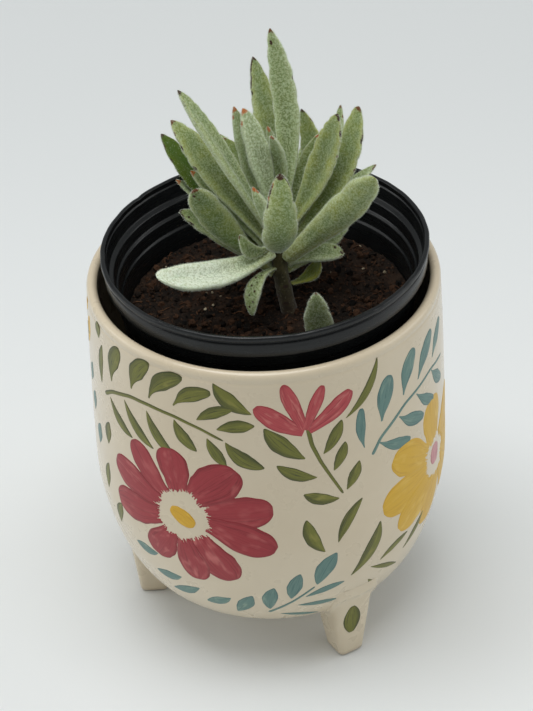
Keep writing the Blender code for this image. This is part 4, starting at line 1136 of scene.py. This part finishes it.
def make_soil():
    rings, sides = 120, 300
    edge = nursery_inside(SOIL_TOP) - 0.35
    radii = np.linspace(0, edge, rings + 1)[1:]
    angles = np.arange(sides) * 2 * math.pi / sides
    points = [(r * math.cos(a), r * math.sin(a), soil_height(r * math.cos(a), r * math.sin(a))) for r in radii for a in angles]
    count = rings
    for z in (SOIL_TOP - 5, SOIL_TOP - 40, SOIL_TOP - 80, 4.6):
        r = nursery_inside(z) - 0.4
        points += [(r * math.cos(a), r * math.sin(a), z) for a in angles]
        count += 1
    r = nursery_inside(2.3) - 3
    points += [(r * math.cos(a), r * math.sin(a), 2.5) for a in angles]
    count += 1
    points += [(0, 0, soil_height(0, 0)), (0, 0, 2.5)]
    faces = []
    for i in range(count - 1):
        for k in range(sides):
            m = (k + 1) % sides
            faces.append((i * sides + k, (i + 1) * sides + k, (i + 1) * sides + m, i * sides + m))
    a, b = count * sides, count * sides + 1
    for k in range(sides):
        m = (k + 1) % sides
        faces += [(a, k, m), (b, (count - 1) * sides + m, (count - 1) * sides + k)]
    obj = add_mesh("soil_bed", placed(points), faces)
    face_out(obj)
    return obj


def ball(level):
    """A round-ish closed shape to make crumbs from: 12 or 42 points."""
    g = (1 + 5 ** 0.5) / 2
    pts = [(-1, g, 0), (1, g, 0), (-1, -g, 0), (1, -g, 0), (0, -1, g), (0, 1, g), (0, -1, -g), (0, 1, -g), (g, 0, -1), (g, 0, 1), (-g, 0, -1), (-g, 0, 1)]
    tri = [(0, 11, 5), (0, 5, 1), (0, 1, 7), (0, 7, 10), (0, 10, 11), (1, 5, 9), (5, 11, 4), (11, 10, 2), (10, 7, 6), (7, 1, 8), (3, 9, 4), (3, 4, 2), (3, 2, 6), (3, 6, 8), (3, 8, 9), (4, 9, 5), (2, 4, 11), (6, 2, 10), (8, 6, 7), (9, 8, 1)]
    pts = [np.array(p) / np.linalg.norm(p) for p in pts]
    for _ in range(level):
        seen, out = {}, []
        for a, b, c in tri:
            mids = []
            for i, j in ((a, b), (b, c), (c, a)):
                key = (min(i, j), max(i, j))
                if key not in seen:
                    p = pts[i] + pts[j]
                    pts.append(p / np.linalg.norm(p))
                    seen[key] = len(pts) - 1
                mids.append(seen[key])
            out += [(a, mids[0], mids[2]), (b, mids[1], mids[0]), (c, mids[2], mids[1]), tuple(mids)]
        tri = out
    return np.array(pts), tri


def scatter(parts, count, level, low, high, flat=(0.55, 1.0), tone=None, reach=64.6, seed=1, sink=0.25):
    local = np.random.default_rng(seed)
    shape, tri = ball(level)
    for _ in range(count):
        r, a = reach * math.sqrt(local.random()), local.random() * 2 * math.pi
        x, y = r * math.cos(a), r * math.sin(a)
        size = low + (high - low) * local.random() ** 2.2
        if math.hypot(x, y) > reach - size * 0.55:
            continue
        stretch = np.array([1.0, 0.6 + 0.5 * local.random(), flat[0] + (flat[1] - flat[0]) * local.random()])
        lump = shape * (1 + 0.24 * local.normal(0, 1, (len(shape), 1)).clip(-1.3, 1.3)) * stretch * size / 2
        q = local.normal(0, 1, 4)
        q /= np.linalg.norm(q)
        w, i, j, k = q
        turn = np.array([[1 - 2 * (j * j + k * k), 2 * (i * j - k * w), 2 * (i * k + j * w)], [2 * (i * j + k * w), 1 - 2 * (i * i + k * k), 2 * (j * k - i * w)], [2 * (i * k - j * w), 2 * (j * k + i * w), 1 - 2 * (i * i + j * j)]])
        at = np.array([x, y, soil_height(x, y) + size * (0.5 - sink) * 0.6])
        parts.add(placed(lump @ turn.T + at), tri, grain=(local.random() if tone is None else tone))


def fibres(parts, count, seed):
    local = np.random.default_rng(seed)
    for _ in range(count):
        r, a = 62 * math.sqrt(local.random()), local.random() * 2 * math.pi
        x, y = r * math.cos(a), r * math.sin(a)
        long, way, bend = 2.5 + 6.5 * local.random() ** 1.6, local.random() * 2 * math.pi, local.normal(0, 0.9)
        thick = 0.12 + 0.22 * local.random() ** 2
        rows = 7
        line, heading = [], way
        for k in range(rows):
            if math.hypot(x, y) > 64.2:
                break
            line.append((x, y, soil_height(x, y) + 0.25 + 0.5 * math.sin(k / (rows - 1) * math.pi) * local.random()))
            x, y = x + long / rows * math.cos(heading), y + long / rows * math.sin(heading)
            heading += bend / rows
        if len(line) < 4:
            continue
        line = np.array(line)
        n, sides = len(line), 5
        way3 = np.gradient(line, axis=0)
        way3 /= np.linalg.norm(way3, axis=1, keepdims=True)
        u = np.cross(way3, (0, 0, 1.0))
        u /= np.linalg.norm(u, axis=1, keepdims=True) + 1e-9
        v = np.cross(way3, u)
        taper = thick * np.clip(np.minimum(np.arange(n) + 0.5, n - 0.5 - np.arange(n)) / 1.5, 0.3, 1)
        ph = np.arange(sides) * 2 * math.pi / sides
        points = (line[:, None, :] + taper[:, None, None] * (u[:, None, :] * np.cos(ph)[None, :, None] + v[:, None, :] * np.sin(ph)[None, :, None])).reshape(-1, 3)
        faces = [(i * sides + k, i * sides + (k + 1) % sides, (i + 1) * sides + (k + 1) % sides, (i + 1) * sides + k) for i in range(n - 1) for k in range(sides)]
        faces += [tuple(reversed(range(sides))), tuple(range((n - 1) * sides, n * sides))]
        parts.add(placed(points), faces, grain=local.random())


def soil_material(name, shift=0.0):
    m = Material(name, roughness=0.93, specular=0.2)
    p = m.place()
    cloud = m.noise(p, 95, 4, 0.6)
    grit = m.noise(p, 760, 4, 0.7)
    tone = m.mix(m.band(cloud, 0.35, 0.68), linear(22, 17, 13), linear(48, 35, 26))
    tone = m.mix(m.band(grit, 0.55, 0.74), tone, linear(84, 60, 43))
    tone = m.mix(m.band(m.cells(p, 410), 0.16, 0.04, 0, 0.55), tone, linear(20, 15, 13))
    if shift:
        grain = m.attr("grain")
        tone = m.mix(m.band(grain, 0.30, 0.85, 0, 0.9), tone, m.mix(m.noise(p, 500, 3), linear(40, 27, 19), linear(92, 63, 44)))
        tone = m.mix(m.band(grain, 0.20, 0.05), tone, linear(14, 11, 9))
    m.colour(tone)
    m.bump(m.math("ADD", grit, m.math("MULTIPLY", m.noise(p, 1700, 2), 0.5)), 0.5, 0.9)
    return m


finish_piece(make_soil(), soil_material("potting_mix"), "potting_mix", "soil")
crumbs = Parts()
scatter(crumbs, 1250, 1, 1.2, 4.2, seed=21)
scatter(crumbs, 1900, 0, 0.6, 1.4, seed=22)
crumb_piece = crumbs.build("soil_crumbs", smooth=False)
face_out(crumb_piece)
finish_piece(crumb_piece, soil_material("bark_crumbs", 1.0), "potting_mix")
strands = Parts()
fibres(strands, 330, 31)
strand_piece = strands.build("soil_fibres")
face_out(strand_piece)


def fibre_material():
    m = Material("coir_fibre", roughness=0.85, specular=0.2)
    p = m.place()
    tone = m.mix(m.attr("grain"), linear(58, 36, 25), linear(108, 76, 52))
    m.colour(m.mix(m.band(m.noise(p, 900, 3), 0.4, 0.7), tone, linear(60, 36, 26)))
    return m


finish_piece(strand_piece, fibre_material(), "potting_mix")
pale = Parts()
scatter(pale, 46, 1, 0.7, 1.9, tone=0.5, seed=41)
pale_piece = pale.build("soil_pale_grains", smooth=False)
face_out(pale_piece)


def pale_material():
    m = Material("pale_grains", roughness=0.9, specular=0.2)
    p = m.place()
    m.colour(m.mix(m.noise(p, 600, 3), linear(150, 128, 96), linear(206, 196, 172)))
    m.bump(m.noise(p, 1300, 2), 0.3, 0.8)
    return m


finish_piece(pale_piece, pale_material(), "potting_mix")


# ============================================================ stage, light and camera
def make_stage():
    # a wide flat floor, with nothing standing on it that could hide the object from any side
    xs = np.linspace(-7000, 7000, 41)
    ys = np.linspace(-7000, 7000, 41)
    points = [(x, y, 0.0) for y in ys for x in xs]
    n = len(xs)
    faces = [(i * n + k, i * n + k + 1, (i + 1) * n + k + 1, (i + 1) * n + k) for i in range(len(ys) - 1) for k in range(n - 1)]
    obj = add_mesh("studio_floor", points, faces)
    m = Material("pale_floor", roughness=0.9, specular=0.15)
    p = m.place()
    ground = m.mix(m.noise(p, 3.0, 3), (0.805, 0.828, 0.824, 1), (0.845, 0.862, 0.858, 1))
    # painted shade: further back the floor turns greyer, standing in for a backdrop that gets less light
    _, y, _ = m.split(p)
    m.colour(m.mix(m.band(y, 0.10, 0.52), ground, (0.760, 0.780, 0.776, 1)))
    obj.data.materials.append(m.data)
    return obj


make_stage()


def area(name, place, aim, size, power, colour=(1, 1, 1)):
    data = bpy.data.lights.new(name, "AREA")
    data.shape = "RECTANGLE"
    data.size, data.size_y = size
    data.energy = power
    data.color = colour
    lamp = bpy.data.objects.new(name, data)
    bpy.context.scene.collection.objects.link(lamp)
    lamp.location = Vector(place) * MM
    way = (Vector(aim) - Vector(place)).normalized()
    lamp.rotation_euler = way.to_track_quat("-Z", "Y").to_euler()
    return lamp


area("softbox_top", (-160, -150, 1900), (0, 0, 0), (1.45, 1.15), 20.0, (0.99, 0.998, 1.0))
area("softbox_left", (-2000, 120, 900), (0, 0, 90), (1.5, 1.3), 9.0, (0.99, 1.0, 1.0))
area("softbox_right", (2000, 120, 900), (0, 0, 90), (1.5, 1.3), 8.0, (0.99, 1.0, 1.0))
world = bpy.data.worlds.new("studio")
world.use_nodes = True
world.node_tree.nodes["Background"].inputs["Color"].default_value = (0.93, 0.96, 0.97, 1)
world.node_tree.nodes["Background"].inputs["Strength"].default_value = 0.38
bpy.context.scene.world = world
bpy.context.scene.view_settings.view_transform = "Standard"
bpy.context.scene.view_settings.look = "None"
bpy.context.scene.view_settings.exposure = 0.0
bpy.context.scene.view_settings.gamma = 1.0

camera_data = bpy.data.cameras.new("photo_camera")
camera = bpy.data.objects.new("photo_camera", camera_data)
bpy.context.scene.collection.objects.link(camera)
pitch, yaw, roll = 0.629009, -0.000264, -0.0455912
forward = Vector((math.sin(yaw) * math.cos(pitch), math.cos(yaw) * math.cos(pitch), -math.sin(pitch)))
right = Vector((math.cos(yaw), -math.sin(yaw), 0))
upward = right.cross(forward)
turned_right = math.cos(roll) * right + math.sin(roll) * upward
turned_up = -math.sin(roll) * right + math.cos(roll) * upward
pose = Matrix((turned_right, turned_up, -forward)).transposed().to_4x4()
pose.translation = Vector((0, -0.985465, 0.853744))
camera.matrix_world = pose
camera_data.sensor_width = 36.0
camera_data.sensor_fit = "AUTO"
camera_data.lens = 2600 * 36 / 711
camera_data.clip_start, camera_data.clip_end = 0.05, 20.0
bpy.context.scene.camera = camera
